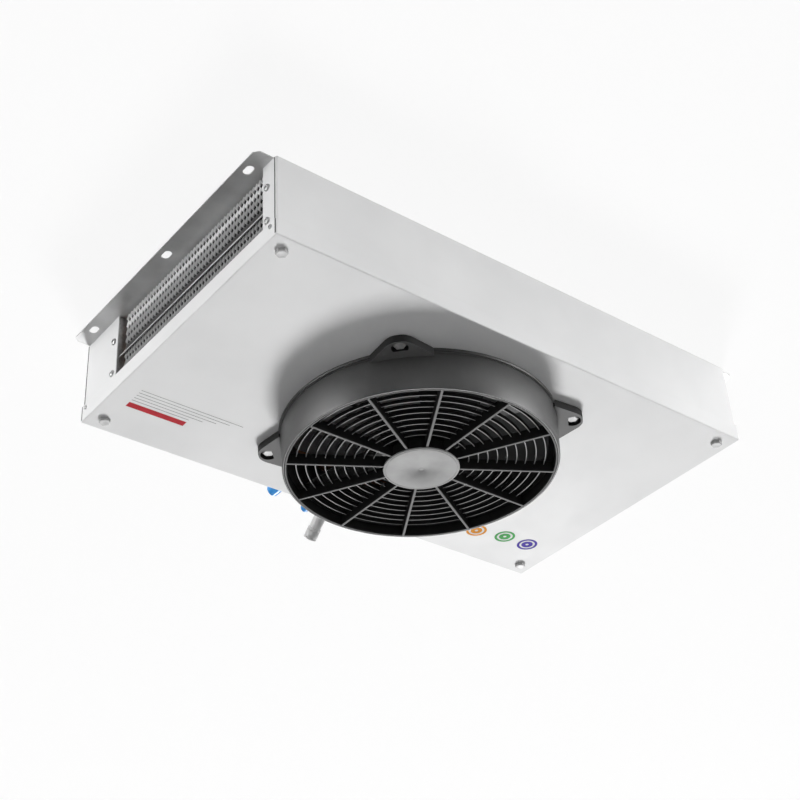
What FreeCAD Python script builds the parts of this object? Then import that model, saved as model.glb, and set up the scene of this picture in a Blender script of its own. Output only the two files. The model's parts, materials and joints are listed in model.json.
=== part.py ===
import FreeCAD, Part
import math
import os
import Sketcher
from FreeCAD import Placement, Rotation, Vector

# Ceiling-hung unit cooler with one fan underneath and a finned coil at each end.
# Millimetres. The origin is the middle of the face that lies on the ceiling, +Z is up,
# +X runs along the case to the right-hand coil and +Y points to the side with the pipes.

SIZES = {
    # Case
    "case_length": 740,
    "case_width": 440,
    "case_depth": 118,
    "sheet_wall": 1.2,
    "bend_radius": 2.4,
    "lip_gap": 0.3,
    "panel_lift": 3,
    "near_jamb": 27,
    "far_jamb": 82,
    "top_fold": 14,
    # Top panel and its hanging flanges
    "flange_width": 24,
    "top_inset": 5.5,
    "flange_clip": 6,
    "slot_width": 10,
    "slot_length": 16,
    "slot_edge": 12,
    "slot_spacing": 180,
    # Drain pan
    "pan_wall": 1.2,
    "pan_lip": 23,
    "pan_edge_radius": 1.5,
    "collar_height": 12,
    "corner_inset": 22,
    "bracket_wall": 2,
    "bracket_width": 24,
    "bracket_reach": 30,
    "bracket_height": 30,
    # Fasteners
    "bolt_radius": 4,
    "bolt_hole_gap": 0.4,
    "bolt_flats": 13,
    "bolt_head": 5.3,
    "screw_radius": 2.1,
    "screw_head_radius": 4.6,
    "screw_head": 2.6,
    "pin_screw_radius": 1.5,
    "pin_head_radius": 2.9,
    "pin_head": 1.8,
    # Coils
    "fin_wall": 0.3,
    "fin_pitch": 5,
    "fin_top": 3,
    "fin_recess": 5,
    "row_height": 24,
    "row_depth": 25,
    "tube_radius": 4.76,
    "tube_sheet_wall": 1.5,
    "tube_stub": 5,
    "sheet_overhang": 2,
    "tube_sheet_flange": 14,
    "screw_inset": 9,
    "rod_radius": 1.3,
    "rod_drop": 63,
    # Refrigerant lines
    "suction_radius": 8,
    "liquid_radius": 5,
    "suction_drop": 66,
    "suction_line_inset": 19,
    "liquid_line_inset": 42,
    "suction_place": -30,
    "suction_reach": 74,
    "header_gap": 1.5,
    "header_overlap": 7,
    "liquid_place": 16,
    "liquid_reach": 62,
    "cap_wall": 1.3,
    "cap_length": 16,
    "cap_gap": 0.05,
    "grommet_wall": 1.8,
    "grommet_rim": 1.1,
    "grommet_length": 7,
    # Drain outlet
    "drain_place": 18,
    "drain_radius": 8.5,
    "drain_bore": 6.8,
    "drain_drop": 106.5,
    "drain_tilt": 40,
    "drain_straight": 16,
    "drain_reach": 52,
    "drain_thread_length": 17,
    "drain_thread_wall": 0.9,
    "drain_nut_flats": 22,
    "gasket_wall": 2.5,
    "drain_nut_height": 5,
    "gasket_height": 1.6,
    "drain_notch": 2.2,
    # Fan shroud
    "fan_drop": 56,
    "duct_radius": 172,
    "duct_rise": 18,
    "shroud_wall": 2.6,
    "shroud_foot": 9,
    "shroud_gap": 1.5,
    "ear_radius": 198,
    "ear_tip": 211,
    "ear_half_width": 25,
    "ear_tip_half_width": 8,
    "ear_height": 12,
    "ear_floor": 3.4,
    "ear_rib": 2.4,
    # Guard grille
    "guard_gap": 0.4,
    "guard_rim": 2.2,
    "guard_depth": 15,
    "ring_wall": 1.5,
    "ring_height": 5,
    "spoke_wall": 2.4,
    "guard_hub_radius": 47,
    "guard_hub_wall": 3,
    "guard_plate": 3.5,
    "hub_cap_radius": 49,
    "hub_cap_wall": 2,
    "hub_cap_skirt": 6,
    # Motor
    "motor_base_radius": 40,
    "motor_base_wall": 4,
    "bearing_radius": 11,
    "bearing_width": 7,
    "bearing_tube_wall": 2.5,
    "bearing_tube": 42,
    "shaft_radius": 4,
    "shaft_gap": 0.03,
    "core_radius": 27,
    "core_height": 24,
    "core_lift": 10,
    "winding_height": 4,
    "rotor_radius": 36,
    "rotor_wall": 3,
    "air_gap": 0.6,
    "rotor_lift": 3,
    "rotor_height": 44,
    # Impeller
    "hub_radius": 50,
    "hub_wall": 2.5,
    "tip_gap": 3.5,
    "blade_wall": 2.4,
    "blade_centre": 24,
    "root_chord": 52,
    "root_slope": 42,
    "root_shift": -6,
    "root_sag": 6,
    "mid_chord": 86,
    "mid_slope": 27,
    "mid_shift": 4,
    "mid_sag": 9,
    "tip_chord": 112,
    "tip_slope": 19,
    "tip_shift": 30,
    "tip_sag": 10,
    # Electrical
    "box_place": 150,
    "box_length": 92,
    "box_depth": 34,
    "box_height": 42,
    "box_drop": 8,
    "box_wall": 2,
    "gland_radius": 10,
    "gland_bore": 5.5,
    "gland_flats": 24,
    "block_length": 62,
}

FIN_COUNT_SPARE = 1
ROWS_HIGH = 4
ROWS_DEEP = 2
RING_COUNT = 9
SPOKE_COUNT = 12
EAR_COUNT = 4
BLADE_COUNT = 5
BLADE_STEPS = 4
TERMINAL_COUNT = 6
FIRST_EAR_ANGLE = 45
# Small and hidden round pieces are many-sided, which keeps the mesh light.
STEM_SIDES = 8
TUBE_SIDES = 8
BEND_STEPS = 4
HEAD_SIDES = 12
GROMMET_SIDES = 16
CORE_SIDES = 24
RING_SIDES = 36

doc = FreeCAD.newDocument("unit_cooler")
sheet = doc.addObject("Spreadsheet::Sheet", "sizes")
for row, (alias, number) in enumerate(SIZES.items(), start=1):
    sheet.set("A%d" % row, alias)
    sheet.set("B%d" % row, str(number))
    sheet.setAlias("B%d" % row, alias)
doc.recompute()


class Size:
    """A number together with the sheet formula that it comes from."""

    def __init__(self, number, text):
        self.number = float(number)
        self.text = text

    def __add__(self, other):
        other = size_of(other)
        return Size(self.number + other.number, "(%s + %s)" % (self.text, other.text))

    def __sub__(self, other):
        other = size_of(other)
        return Size(self.number - other.number, "(%s - %s)" % (self.text, other.text))

    def __mul__(self, other):
        other = size_of(other)
        return Size(self.number * other.number, "(%s * %s)" % (self.text, other.text))

    def __truediv__(self, other):
        other = size_of(other)
        return Size(self.number / other.number, "(%s / %s)" % (self.text, other.text))

    def __radd__(self, other):
        return size_of(other) + self

    def __rsub__(self, other):
        return size_of(other) - self

    def __rmul__(self, other):
        return size_of(other) * self

    def __neg__(self):
        return self * -1

    def __float__(self):
        return self.number


class Sheet:
    """Reads a cell of the sheet by its alias."""

    def __getattr__(self, alias):
        return Size(sheet.get(alias), "sizes." + alias)


def size_of(value):
    return value if isinstance(value, Size) else Size(value, "(%r)" % float(value))


def cosine(degrees):
    degrees = size_of(degrees)
    return Size(math.cos(math.radians(degrees.number)), "cos(%s * 1 deg)" % degrees.text)


def sine(degrees):
    degrees = size_of(degrees)
    return Size(math.sin(math.radians(degrees.number)), "sin(%s * 1 deg)" % degrees.text)


s = Sheet()

# Places that several pieces share

half_length = s.case_length / 2
half_width = s.case_width / 2
pan_floor = -s.case_depth + s.pan_wall
end_face = half_length - s.pan_wall - s.lip_gap
side_face = half_width - s.pan_wall - s.lip_gap
ceiling_seat = -s.sheet_wall
panel_foot = pan_floor + s.panel_lift
flange_tip = end_face + s.flange_width
top_edge = side_face - s.top_inset
near_opening = -side_face + s.near_jamb
far_opening = side_face - s.far_jamb
coil_length = far_opening - near_opening
fin_face = end_face - s.sheet_wall - s.fin_recess
fin_depth = ROWS_DEEP * s.row_depth
fin_height = ROWS_HIGH * s.row_height
lowest_row = -s.fin_top - fin_height + s.row_height / 2
suction_level = -s.suction_drop
suction_line_y = side_face - s.suction_line_inset
liquid_line_y = side_face - s.liquid_line_inset
fan_rim = -s.case_depth - s.fan_drop
guard_top = fan_rim + s.guard_depth
shroud_outer = s.duct_radius + s.shroud_wall
pan_hole = shroud_outer + s.shroud_gap
motor_seat = guard_top
rotor_foot = motor_seat + s.motor_base_wall + s.rotor_lift
rotor_head = rotor_foot + s.rotor_height
core_foot = motor_seat + s.motor_base_wall + s.core_lift
bearing_tube_radius = s.bearing_radius + s.bearing_tube_wall
blade_tip = s.duct_radius - s.tip_gap
blade_level = rotor_foot + s.blade_centre

nodes = []


def keep(piece, label):
    """Gives a finished piece its name and puts it on the list that is written out."""
    piece.Label = label
    nodes.append(piece)
    return piece


def tie(thing, name, value):
    """Sets a size of a thing and binds it to the sheet."""
    thing.setExpression(name, size_of(value).text)


def put(thing, x=0, y=0, z=0, turn=None):
    """Places a thing; its three coordinates stay bound to the sheet."""
    x, y, z = size_of(x), size_of(y), size_of(z)
    thing.Placement = Placement(Vector(x.number, y.number, z.number), turn or Rotation())
    tie(thing, "Placement.Base.x", x)
    tie(thing, "Placement.Base.y", y)
    tie(thing, "Placement.Base.z", z)
    return thing


def new_body(label):
    body = doc.addObject("PartDesign::Body", label)
    body.AllowCompound = True
    return body


def sketch_on(body, plane, offset=0, turn=0):
    """A sketch on one of the body's own planes, moved along its normal."""
    sketch = body.newObject("Sketcher::SketchObject", body.Name + "_sketch")
    support = [item for item in body.Origin.OriginFeatures if item.Role == plane][0]
    sketch.AttachmentSupport = (support, [""])
    sketch.MapMode = "FlatFace"
    offset = size_of(offset)
    spin = Rotation(Vector(0, 0, 1), turn)
    sketch.AttachmentOffset = Placement(Vector(0, 0, offset.number), spin)
    tie(sketch, "AttachmentOffset.Base.z", offset)
    return sketch


def tie_point(sketch, curve, end, x, y):
    """Holds one point of a sketch at two bound distances from the sketch's origin."""
    for value, kind, axis in ((x, "DistanceX", -2), (y, "DistanceY", -1)):
        value = size_of(value)
        if value.number == 0 and "sizes" not in value.text:
            sketch.addConstraint(Sketcher.Constraint("PointOnObject", curve, end, axis))
            continue
        index = sketch.addConstraint(Sketcher.Constraint(kind, -1, 1, curve, end, value.number))
        tie(sketch, "Constraints[%d]" % index, value)


def outline(sketch, points):
    """A closed outline of straight lines through the points."""
    spots = [Vector(float(x), float(y), 0) for x, y in points]
    first = sketch.GeometryCount
    count = len(spots)
    for index in range(count):
        sketch.addGeometry(Part.LineSegment(spots[index], spots[(index + 1) % count]), False)
    for index in range(count):
        after = first + (index + 1) % count
        sketch.addConstraint(Sketcher.Constraint("Coincident", first + index, 2, after, 1))
    for index, (x, y) in enumerate(points):
        tie_point(sketch, first + index, 1, x, y)


def rectangle(sketch, x_low, y_low, x_high, y_high):
    outline(sketch, [(x_low, y_low), (x_high, y_low), (x_high, y_high), (x_low, y_high)])


def circle(sketch, x, y, radius):
    radius = size_of(radius)
    curve = sketch.addGeometry(
        Part.Circle(Vector(float(x), float(y), 0), Vector(0, 0, 1), radius.number), False
    )
    tie_point(sketch, curve, 3, x, y)
    index = sketch.addConstraint(Sketcher.Constraint("Radius", curve, radius.number))
    tie(sketch, "Constraints[%d]" % index, radius)


def regular(sketch, x, y, sides, radius):
    """A many-sided outline round a point, with its corners at the radius."""
    points = []
    for step in range(sides):
        angle = 360 / sides * (step + 0.5)
        points.append((x + radius * cosine(angle), y + radius * sine(angle)))
    outline(sketch, points)


def slot(sketch, x, y, width, length):
    """A round-ended slot along the sketch's vertical axis."""
    x, y = size_of(x), size_of(y)
    radius = width / 2
    reach = (length - width) / 2
    right, left = float(x + radius), float(x - radius)
    high, low = float(y + reach), float(y - reach)
    normal = Vector(0, 0, 1)
    top = Part.ArcOfCircle(Part.Circle(Vector(float(x), high, 0), normal, float(radius)), 0, math.pi)
    foot = Part.ArcOfCircle(
        Part.Circle(Vector(float(x), low, 0), normal, float(radius)), math.pi, 2 * math.pi
    )
    first = sketch.GeometryCount
    sketch.addGeometry(top, False)
    sketch.addGeometry(Part.LineSegment(Vector(left, high, 0), Vector(left, low, 0)), False)
    sketch.addGeometry(foot, False)
    sketch.addGeometry(Part.LineSegment(Vector(right, low, 0), Vector(right, high, 0)), False)
    for step in range(4):
        after = first + (step + 1) % 4
        sketch.addConstraint(Sketcher.Constraint("Tangent", first + step, 2, after, 1))
    tie_point(sketch, first, 3, x, y + reach)
    tie_point(sketch, first + 2, 3, x, y - reach)
    index = sketch.addConstraint(Sketcher.Constraint("Radius", first, float(radius)))
    tie(sketch, "Constraints[%d]" % index, radius)


def pad(body, sketch, height, down=False):
    feature = body.newObject("PartDesign::Pad", body.Name + "_pad")
    feature.Profile = sketch
    tie(feature, "Length", height)
    feature.Reversed = down
    doc.recompute()
    return feature


def pocket(body, sketch, depth, up=False):
    """Cuts a sketch into the body, and stops if nothing was cut."""
    before = body.Shape.Volume
    feature = body.newObject("PartDesign::Pocket", body.Name + "_pocket")
    feature.Profile = sketch
    tie(feature, "Length", depth)
    feature.Reversed = up
    doc.recompute()
    if body.Shape.Volume > before - 0.001:
        raise RuntimeError("a cut missed " + body.Name)
    return feature


def revolve(body, sketch):
    feature = body.newObject("PartDesign::Revolution", body.Name + "_revolution")
    feature.Profile = sketch
    feature.ReferenceAxis = (sketch, ["V_Axis"])
    feature.Angle = 360
    doc.recompute()
    return feature


def groove(body, sketch):
    before = body.Shape.Volume
    feature = body.newObject("PartDesign::Groove", body.Name + "_groove")
    feature.Profile = sketch
    feature.ReferenceAxis = (sketch, ["V_Axis"])
    feature.Angle = 360
    doc.recompute()
    if body.Shape.Volume > before - 0.001:
        raise RuntimeError("a groove missed " + body.Name)
    return feature


def round_pattern(body, features, count):
    """Repeats features evenly round the vertical axis."""
    pattern = body.newObject("PartDesign::PolarPattern", body.Name + "_pattern")
    pattern.Originals = features
    axis = [item for item in body.Origin.OriginFeatures if item.Role == "Z_Axis"][0]
    pattern.Axis = (axis, [""])
    pattern.Angle = 360
    pattern.Occurrences = count
    body.Tip = pattern
    doc.recompute()
    return pattern


def fillet(body, radius, chosen):
    """Rounds the edges of the body for which chosen(edge) is true."""
    base = body.Tip
    names = [
        "Edge%d" % (index + 1) for index, edge in enumerate(base.Shape.Edges) if chosen(edge)
    ]
    feature = body.newObject("PartDesign::Fillet", body.Name + "_fillet")
    feature.Base = (base, names)
    tie(feature, "Radius", radius)
    doc.recompute()
    return feature


def turned(label, *outlines):
    """A piece turned about the fan's axis from outlines of (radius, level) points."""
    body = new_body(label)
    sketch = sketch_on(body, "XZ_Plane")
    for points in outlines:
        outline(sketch, points)
    revolve(body, sketch)
    return body


def ring_outline(inner, outer, low, high):
    return [(inner, low), (outer, low), (outer, high), (inner, high)]


def cylinder(name, radius, height, x, y, z, turn=None):
    piece = doc.addObject("Part::Cylinder", name)
    tie(piece, "Radius", radius)
    tie(piece, "Height", height)
    return put(piece, x, y, z, turn)


def column(name, sides, radius, height, x, y, z, turn=None):
    """A column with the given number of sides, whose corners lie at the radius."""
    piece = doc.addObject("Part::Prism", name)
    piece.Polygon = sides
    tie(piece, "Circumradius", radius)
    tie(piece, "Height", height)
    return put(piece, x, y, z, turn)


def prism(name, flats, height, x, y, z, turn=None):
    """A hexagon of a given width across its flats."""
    return column(name, 6, flats / 2 / cosine(30), height, x, y, z, turn)


def ring_column(name, sides, inner, outer, low, height):
    """A many-sided ring round the fan's axis."""
    hollow = column(name + "_hollow", sides, inner, height, 0, 0, low)
    return cut(name, column(name + "_outside", sides, outer, height, 0, 0, low), hollow)


def box(name, x_low, y_low, z_low, length, width, height):
    piece = doc.addObject("Part::Box", name)
    tie(piece, "Length", length)
    tie(piece, "Width", width)
    tie(piece, "Height", height)
    return put(piece, x_low, y_low, z_low)


def fuse(name, pieces):
    joined = doc.addObject("Part::MultiFuse", name)
    joined.Shapes = pieces
    joined.Refine = True
    return joined


def cut(name, base, tool):
    result = doc.addObject("Part::Cut", name)
    result.Base = base
    result.Tool = tool
    return result


def group(name, pieces):
    """Several equal or related solids that share one node."""
    together = doc.addObject("Part::Compound", name)
    together.Links = pieces
    return together


TO_PLUS_X = Rotation(Vector(0, 1, 0), 90)
TO_MINUS_X = Rotation(Vector(0, 1, 0), -90)
TO_PLUS_Y = Rotation(Vector(1, 0, 0), -90)
TO_MINUS_Y = Rotation(Vector(1, 0, 0), 90)
TO_MINUS_Z = Rotation(Vector(1, 0, 0), 180)
UPRIGHT = Rotation()
SIDES = (("left", -1), ("right", 1))


# Case panels


def make_top_panel():
    """The ceiling sheet, whose ends stick out as flanges with three slots each."""
    body = new_body("top_panel")
    sketch = sketch_on(body, "XY_Plane", ceiling_seat)
    clip = s.flange_clip
    corners = []
    for x_sign, y_sign in ((-1, -1), (1, -1), (1, 1), (-1, 1)):
        along = (x_sign * (flange_tip - clip), y_sign * top_edge)
        across = (x_sign * flange_tip, y_sign * (top_edge - clip))
        corners += [across, along] if x_sign * y_sign > 0 else [along, across]
    outline(sketch, corners)
    for side in (-1, 1):
        for step in (-1, 0, 1):
            slot(
                sketch,
                side * (flange_tip - s.slot_edge),
                step * s.slot_spacing,
                s.slot_width,
                s.slot_length,
            )
    pad(body, sketch, s.sheet_wall)
    keep(body, "top_panel")


def make_side_panel(label, side, jamb, holes):
    """A long wall folded from one sheet: a top fold and two end returns that frame the coils."""
    body = new_body(label)
    wall = s.sheet_wall
    plan = sketch_on(body, "XY_Plane", panel_foot)
    outer = side * side_face
    inner = side * (side_face - wall)
    edge = side * (side_face - jamb)
    points = [
        (-end_face, edge),
        (-end_face, outer),
        (end_face, outer),
        (end_face, edge),
        (end_face - wall, edge),
        (end_face - wall, inner),
        (wall - end_face, inner),
        (wall - end_face, edge),
    ]
    outline(plan, points)
    pad(body, plan, ceiling_seat - panel_foot)

    def is_bend(edge_line):
        if not isinstance(edge_line.Curve, Part.Line):
            return False
        middle = edge_line.CenterOfMass
        upright = abs(edge_line.Vertexes[0].Z - edge_line.Vertexes[-1].Z) > 1
        at_end = abs(abs(middle.x) - end_face.number) < 0.01
        return upright and at_end and abs(abs(middle.y) - side_face.number) < 0.01

    fillet(body, s.bend_radius, is_bend)

    fold = sketch_on(body, "XY_Plane", ceiling_seat - wall)
    rectangle(
        fold,
        wall - end_face,
        side * (side_face - wall / 2),
        end_face - wall,
        side * (side_face - s.top_fold),
    )
    pad(body, fold, wall)
    if holes:
        face = sketch_on(body, "XZ_Plane", -side_face)
        for x, z, radius in holes:
            circle(face, x, z, radius)
        pocket(body, face, 2 * wall, up=True)
    keep(body, label)


def make_drain_pan():
    """A shallow tray with turned-up lips, a collar round the fan hole and holes for its bolts."""
    body = new_body("drain_pan")
    base = sketch_on(body, "XY_Plane", -s.case_depth)
    rectangle(base, -half_length, -half_width, half_length, half_width)
    pad(body, base, s.pan_lip)

    def is_corner(edge_line):
        upright = abs(edge_line.Vertexes[0].Z - edge_line.Vertexes[-1].Z) > 1
        return upright

    fillet(body, s.bend_radius, is_corner)

    def is_foot(edge_line):
        return edge_line.BoundBox.ZMax < -s.case_depth.number + 0.01

    fillet(body, s.pan_edge_radius, is_foot)
    inside = sketch_on(body, "XY_Plane", -s.case_depth + s.pan_lip)
    rectangle(
        inside,
        s.pan_wall - half_length,
        s.pan_wall - half_width,
        half_length - s.pan_wall,
        half_width - s.pan_wall,
    )
    pocket(body, inside, s.pan_lip - s.pan_wall)
    collar = sketch_on(body, "XY_Plane", -s.case_depth)
    circle(collar, 0, 0, pan_hole + s.pan_wall)
    pad(body, collar, s.collar_height)
    hole = sketch_on(body, "XY_Plane", -s.case_depth + s.collar_height)
    circle(hole, 0, 0, pan_hole)
    pocket(body, hole, s.collar_height)
    bolts = sketch_on(body, "XY_Plane", pan_floor)
    for x, y in corner_places() + ear_places():
        regular(bolts, x, y, STEM_SIDES, s.bolt_radius + s.bolt_hole_gap)
    pocket(body, bolts, s.pan_wall)
    outlet = sketch_on(body, "XZ_Plane", -half_width)
    circle(outlet, s.drain_place, -s.drain_drop, s.drain_radius + s.lip_gap)
    pocket(body, outlet, s.pan_wall, up=True)
    keep(body, "drain_pan")


def corner_places():
    inset = s.corner_inset
    return [
        (x * (half_length - inset), y * (half_width - inset)) for x in (-1, 1) for y in (-1, 1)
    ]


def ear_places():
    angles = [FIRST_EAR_ANGLE + 360 / EAR_COUNT * step for step in range(EAR_COUNT)]
    return [(s.ear_radius * cosine(angle), s.ear_radius * sine(angle)) for angle in angles]


def hex_bolt(name, x, y, seat, shank):
    """A bolt pushed up from below: its head hangs under the seat."""
    head = prism(name + "_head", s.bolt_flats, s.bolt_head, x, y, seat - s.bolt_head)
    stem = column(name + "_stem", STEM_SIDES, s.bolt_radius, shank, x, y, seat)
    return fuse(name, [head, stem])


def make_corner_bolts():
    shank = s.pan_wall + s.bracket_wall + 6
    bolts = [
        hex_bolt("corner_bolt_%d" % index, x, y, -s.case_depth, shank)
        for index, (x, y) in enumerate(corner_places())
    ]
    keep(group("pan_corner_bolts_group", bolts), "pan_corner_bolts")


def make_corner_brackets():
    """Angle pieces on the long walls, in the four corners, that the pan is bolted up to."""
    wall = s.bracket_wall
    width = s.bracket_width
    reach = s.bracket_reach
    outer_x = end_face - s.sheet_wall
    outer_y = side_face - s.sheet_wall
    pieces = []
    for index, (x_sign, y_sign) in enumerate(((-1, -1), (-1, 1), (1, -1), (1, 1))):
        name = "corner_bracket_%d" % index
        x_low = -outer_x if x_sign < 0 else outer_x - reach
        y_low = -outer_y if y_sign < 0 else outer_y - width
        foot = box(name + "_foot", x_low, y_low, pan_floor, reach, width, wall)
        upright_y = -outer_y if y_sign < 0 else outer_y - wall
        upright = box(name + "_upright", x_low, upright_y, pan_floor, reach, wall, s.bracket_height)
        angle = fuse(name + "_angle", [foot, upright])
        x = x_sign * (half_length - s.corner_inset)
        y = y_sign * (half_width - s.corner_inset)
        hole = column(name + "_hole", STEM_SIDES, s.bolt_radius, wall, x, y, pan_floor)
        pieces.append(cut(name, angle, hole))
    keep(group("corner_brackets_group", pieces), "corner_brackets")


# Coils


def tube_places(side):
    """Centres of the tubes of one coil as (x, z), the outer row first, each from the top down."""
    places = []
    for deep in range(ROWS_DEEP):
        x = side * (fin_face - (deep + 0.5) * s.row_depth)
        for high in range(ROWS_HIGH):
            places.append((x, -s.fin_top - (high + 0.5) * s.row_height))
    return places


def make_fin_pack(label, side):
    """A stack of thin plates across the tubes, one every fin pitch."""
    count = int(coil_length.number // s.fin_pitch.number) - FIN_COUNT_SPARE
    margin = (coil_length - (count - 1) * s.fin_pitch) / 2
    x_low = side * fin_face if side < 0 else fin_face - fin_depth
    z_low = -s.fin_top - fin_height
    plates = [
        box(
            "%s_%d" % (label, index),
            x_low,
            near_opening + margin + index * s.fin_pitch - s.fin_wall / 2,
            z_low,
            fin_depth,
            s.fin_wall,
            fin_height,
        )
        for index in range(count)
    ]
    keep(group(label + "_group", plates), label)


def make_tube_sheet(label, side, end):
    """An end plate of a coil: a plate with the tube holes and a flange screwed to the case."""
    wall = s.tube_sheet_wall
    face = near_opening if end < 0 else far_opening
    low = -s.fin_top - fin_height - s.sheet_overhang
    height = ceiling_seat - s.sheet_wall - low
    outer_x = end_face - s.sheet_wall
    inner_x = fin_face - fin_depth
    plate_low = inner_x if side > 0 else -outer_x
    flange_low = outer_x - wall if side > 0 else -outer_x
    plate_y = face if end > 0 else face - wall
    flange_y = face if end > 0 else face - s.tube_sheet_flange
    plate = box(label + "_plate", plate_low, plate_y, low, outer_x - inner_x, wall, height)
    flange = box(label + "_flange", flange_low, flange_y, low, wall, s.tube_sheet_flange, height)
    holes = [
        column("%s_hole_%d" % (label, index), TUBE_SIDES, s.tube_radius, wall, x, plate_y, z, TO_PLUS_Y)
        for index, (x, z) in enumerate(tube_places(side))
    ]
    blank = fuse(label + "_blank", [plate, flange])
    keep(cut(label + "_sheet", blank, group(label + "_holes", holes)), label)


def make_coil_tubes(label, side):
    """Straight tubes of one coil; the two that feed it run on to the pipework."""
    start = near_opening - s.tube_sheet_wall - s.tube_stub
    length = coil_length + 2 * (s.tube_sheet_wall + s.tube_stub)
    tubes = [
        column("%s_%d" % (label, index), TUBE_SIDES, s.tube_radius, length, x, start, z, TO_PLUS_Y)
        for index, (x, z) in enumerate(tube_places(side))
    ]
    keep(group(label + "_group", tubes), label)


def half_bend(name, x, y, z, across, turn):
    """A return bend: half a ring of eight-sided tube, made of a few straight lengths."""
    radius = float(across) / 2
    spots = [Vector(radius, 0, 0)]
    reach = radius / math.cos(math.pi / BEND_STEPS / 2)
    for step in range(BEND_STEPS):
        angle = math.pi * (step + 0.5) / BEND_STEPS
        spots.append(Vector(reach * math.cos(angle), reach * math.sin(angle), 0))
    spots.append(Vector(-radius, 0, 0))
    path = Part.makePolygon(spots)
    corners = []
    for step in range(TUBE_SIDES + 1):
        angle = 2 * math.pi * step / TUBE_SIDES
        wall = float(s.tube_radius)
        corners.append(Vector(radius + wall * math.cos(angle), 0, wall * math.sin(angle)))
    solid = path.makePipeShell([Part.makePolygon(corners)], True, False, 1)
    piece = doc.addObject("Part::Feature", name)
    piece.Shape = solid
    return put(piece, x, y, z, turn)


def make_return_bends(label, side):
    """The bends that join the tubes of one coil end to end into one circuit."""
    near_y = near_opening - s.tube_sheet_wall - s.tube_stub
    far_y = far_opening + s.tube_sheet_wall + s.tube_stub
    to_near = Rotation(Vector(0, 1, 0), 90) * Rotation(Vector(0, 0, 1), 180)
    to_far = Rotation(Vector(0, 1, 0), 90)
    flat_far = Rotation()
    places = tube_places(side)
    bends = []
    for deep in range(ROWS_DEEP):
        column = places[deep * ROWS_HIGH : (deep + 1) * ROWS_HIGH]
        for high in range(0, ROWS_HIGH, 2):
            middle = (column[high][1] + column[high + 1][1]) / 2
            name = "%s_near_%d_%d" % (label, deep, high)
            bends.append(half_bend(name, column[high][0], near_y, middle, s.row_height, to_near))
        for high in range(1, ROWS_HIGH - 1, 2):
            middle = (column[high][1] + column[high + 1][1]) / 2
            name = "%s_far_%d_%d" % (label, deep, high)
            bends.append(half_bend(name, column[high][0], far_y, middle, s.row_height, to_far))
    crossing = (places[0][0] + places[ROWS_HIGH][0]) / 2
    bends.append(half_bend(label + "_over", crossing, far_y, places[0][1], s.row_depth, flat_far))
    keep(group(label + "_group", bends), label)


def make_face_rod(label, side):
    """A thin stay across the outer face of the fins, between the two tube sheets."""
    x = side * (fin_face + s.rod_radius)
    name = label + "_rod"
    piece = column(
        name, STEM_SIDES, s.rod_radius, coil_length, x, near_opening, -s.rod_drop, TO_PLUS_Y
    )
    keep(piece, label)


def make_coils():
    for name, side in SIDES:
        make_fin_pack(name + "_fin_pack", side)
        make_tube_sheet(name + "_near_tube_sheet", side, -1)
        make_tube_sheet(name + "_far_tube_sheet", side, 1)
        make_coil_tubes(name + "_coil_tubes", side)
        make_return_bends(name + "_return_bends", side)
        make_face_rod(name + "_face_rod", side)


# Refrigerant lines


def many_sided_ring(sides, radius, centre, heading):
    """A closed outline square to its heading, whose first corner points along X."""
    first = Vector(1, 0, 0) if abs(heading.x) < 0.9 else Vector(0, 1, 0)
    second = heading.cross(first)
    corners = []
    for step in range(sides + 1):
        angle = 2 * math.pi * step / sides
        corners.append(centre + first * (radius * math.cos(angle)) + second * (radius * math.sin(angle)))
    return Part.makePolygon(corners)


def straight_tube(sides, radius, start, heading, length):
    ring = many_sided_ring(sides, radius, start, heading)
    return Part.Face(ring).extrude(heading * length)


def bent_tube(points, radius, bend, sides):
    """A many-sided tube along straight runs, whose corners are turned in short steps."""
    spots = [Vector(float(x), float(y), float(z)) for x, y, z in points]
    path = [spots[0]]
    for before, corner, after in zip(spots, spots[1:], spots[2:]):
        into = (corner - before).normalize()
        out = (after - corner).normalize()
        turn = into.getAngle(out)
        setback = bend * math.tan(turn / 2)
        first = corner - into * setback
        centre = first + (out - into * into.dot(out)).normalize() * bend
        side = (first - centre).normalize()
        reach = bend / math.cos(turn / BEND_STEPS / 2)
        for step in range(BEND_STEPS):
            angle = turn * (step + 0.5) / BEND_STEPS
            path.append(centre + (side * math.cos(angle) + into * math.sin(angle)) * reach)
    path.append(spots[-1])
    heading = (spots[1] - spots[0]).normalize()
    ring = many_sided_ring(sides, radius, spots[0], heading)
    return Part.makePolygon(path).makePipeShell([ring], True, False, 1)


def shape_node(label, shape):
    piece = doc.addObject("Part::Feature", label)
    piece.Shape = shape
    piece.Placement = Placement()
    return keep(piece, label)


def upright_tube(x, y, low, high, radius):
    foot = Vector(float(x), float(y), float(low))
    return straight_tube(HEAD_SIDES, float(radius), foot, Vector(0, 0, 1), float(high) - float(low))


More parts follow.
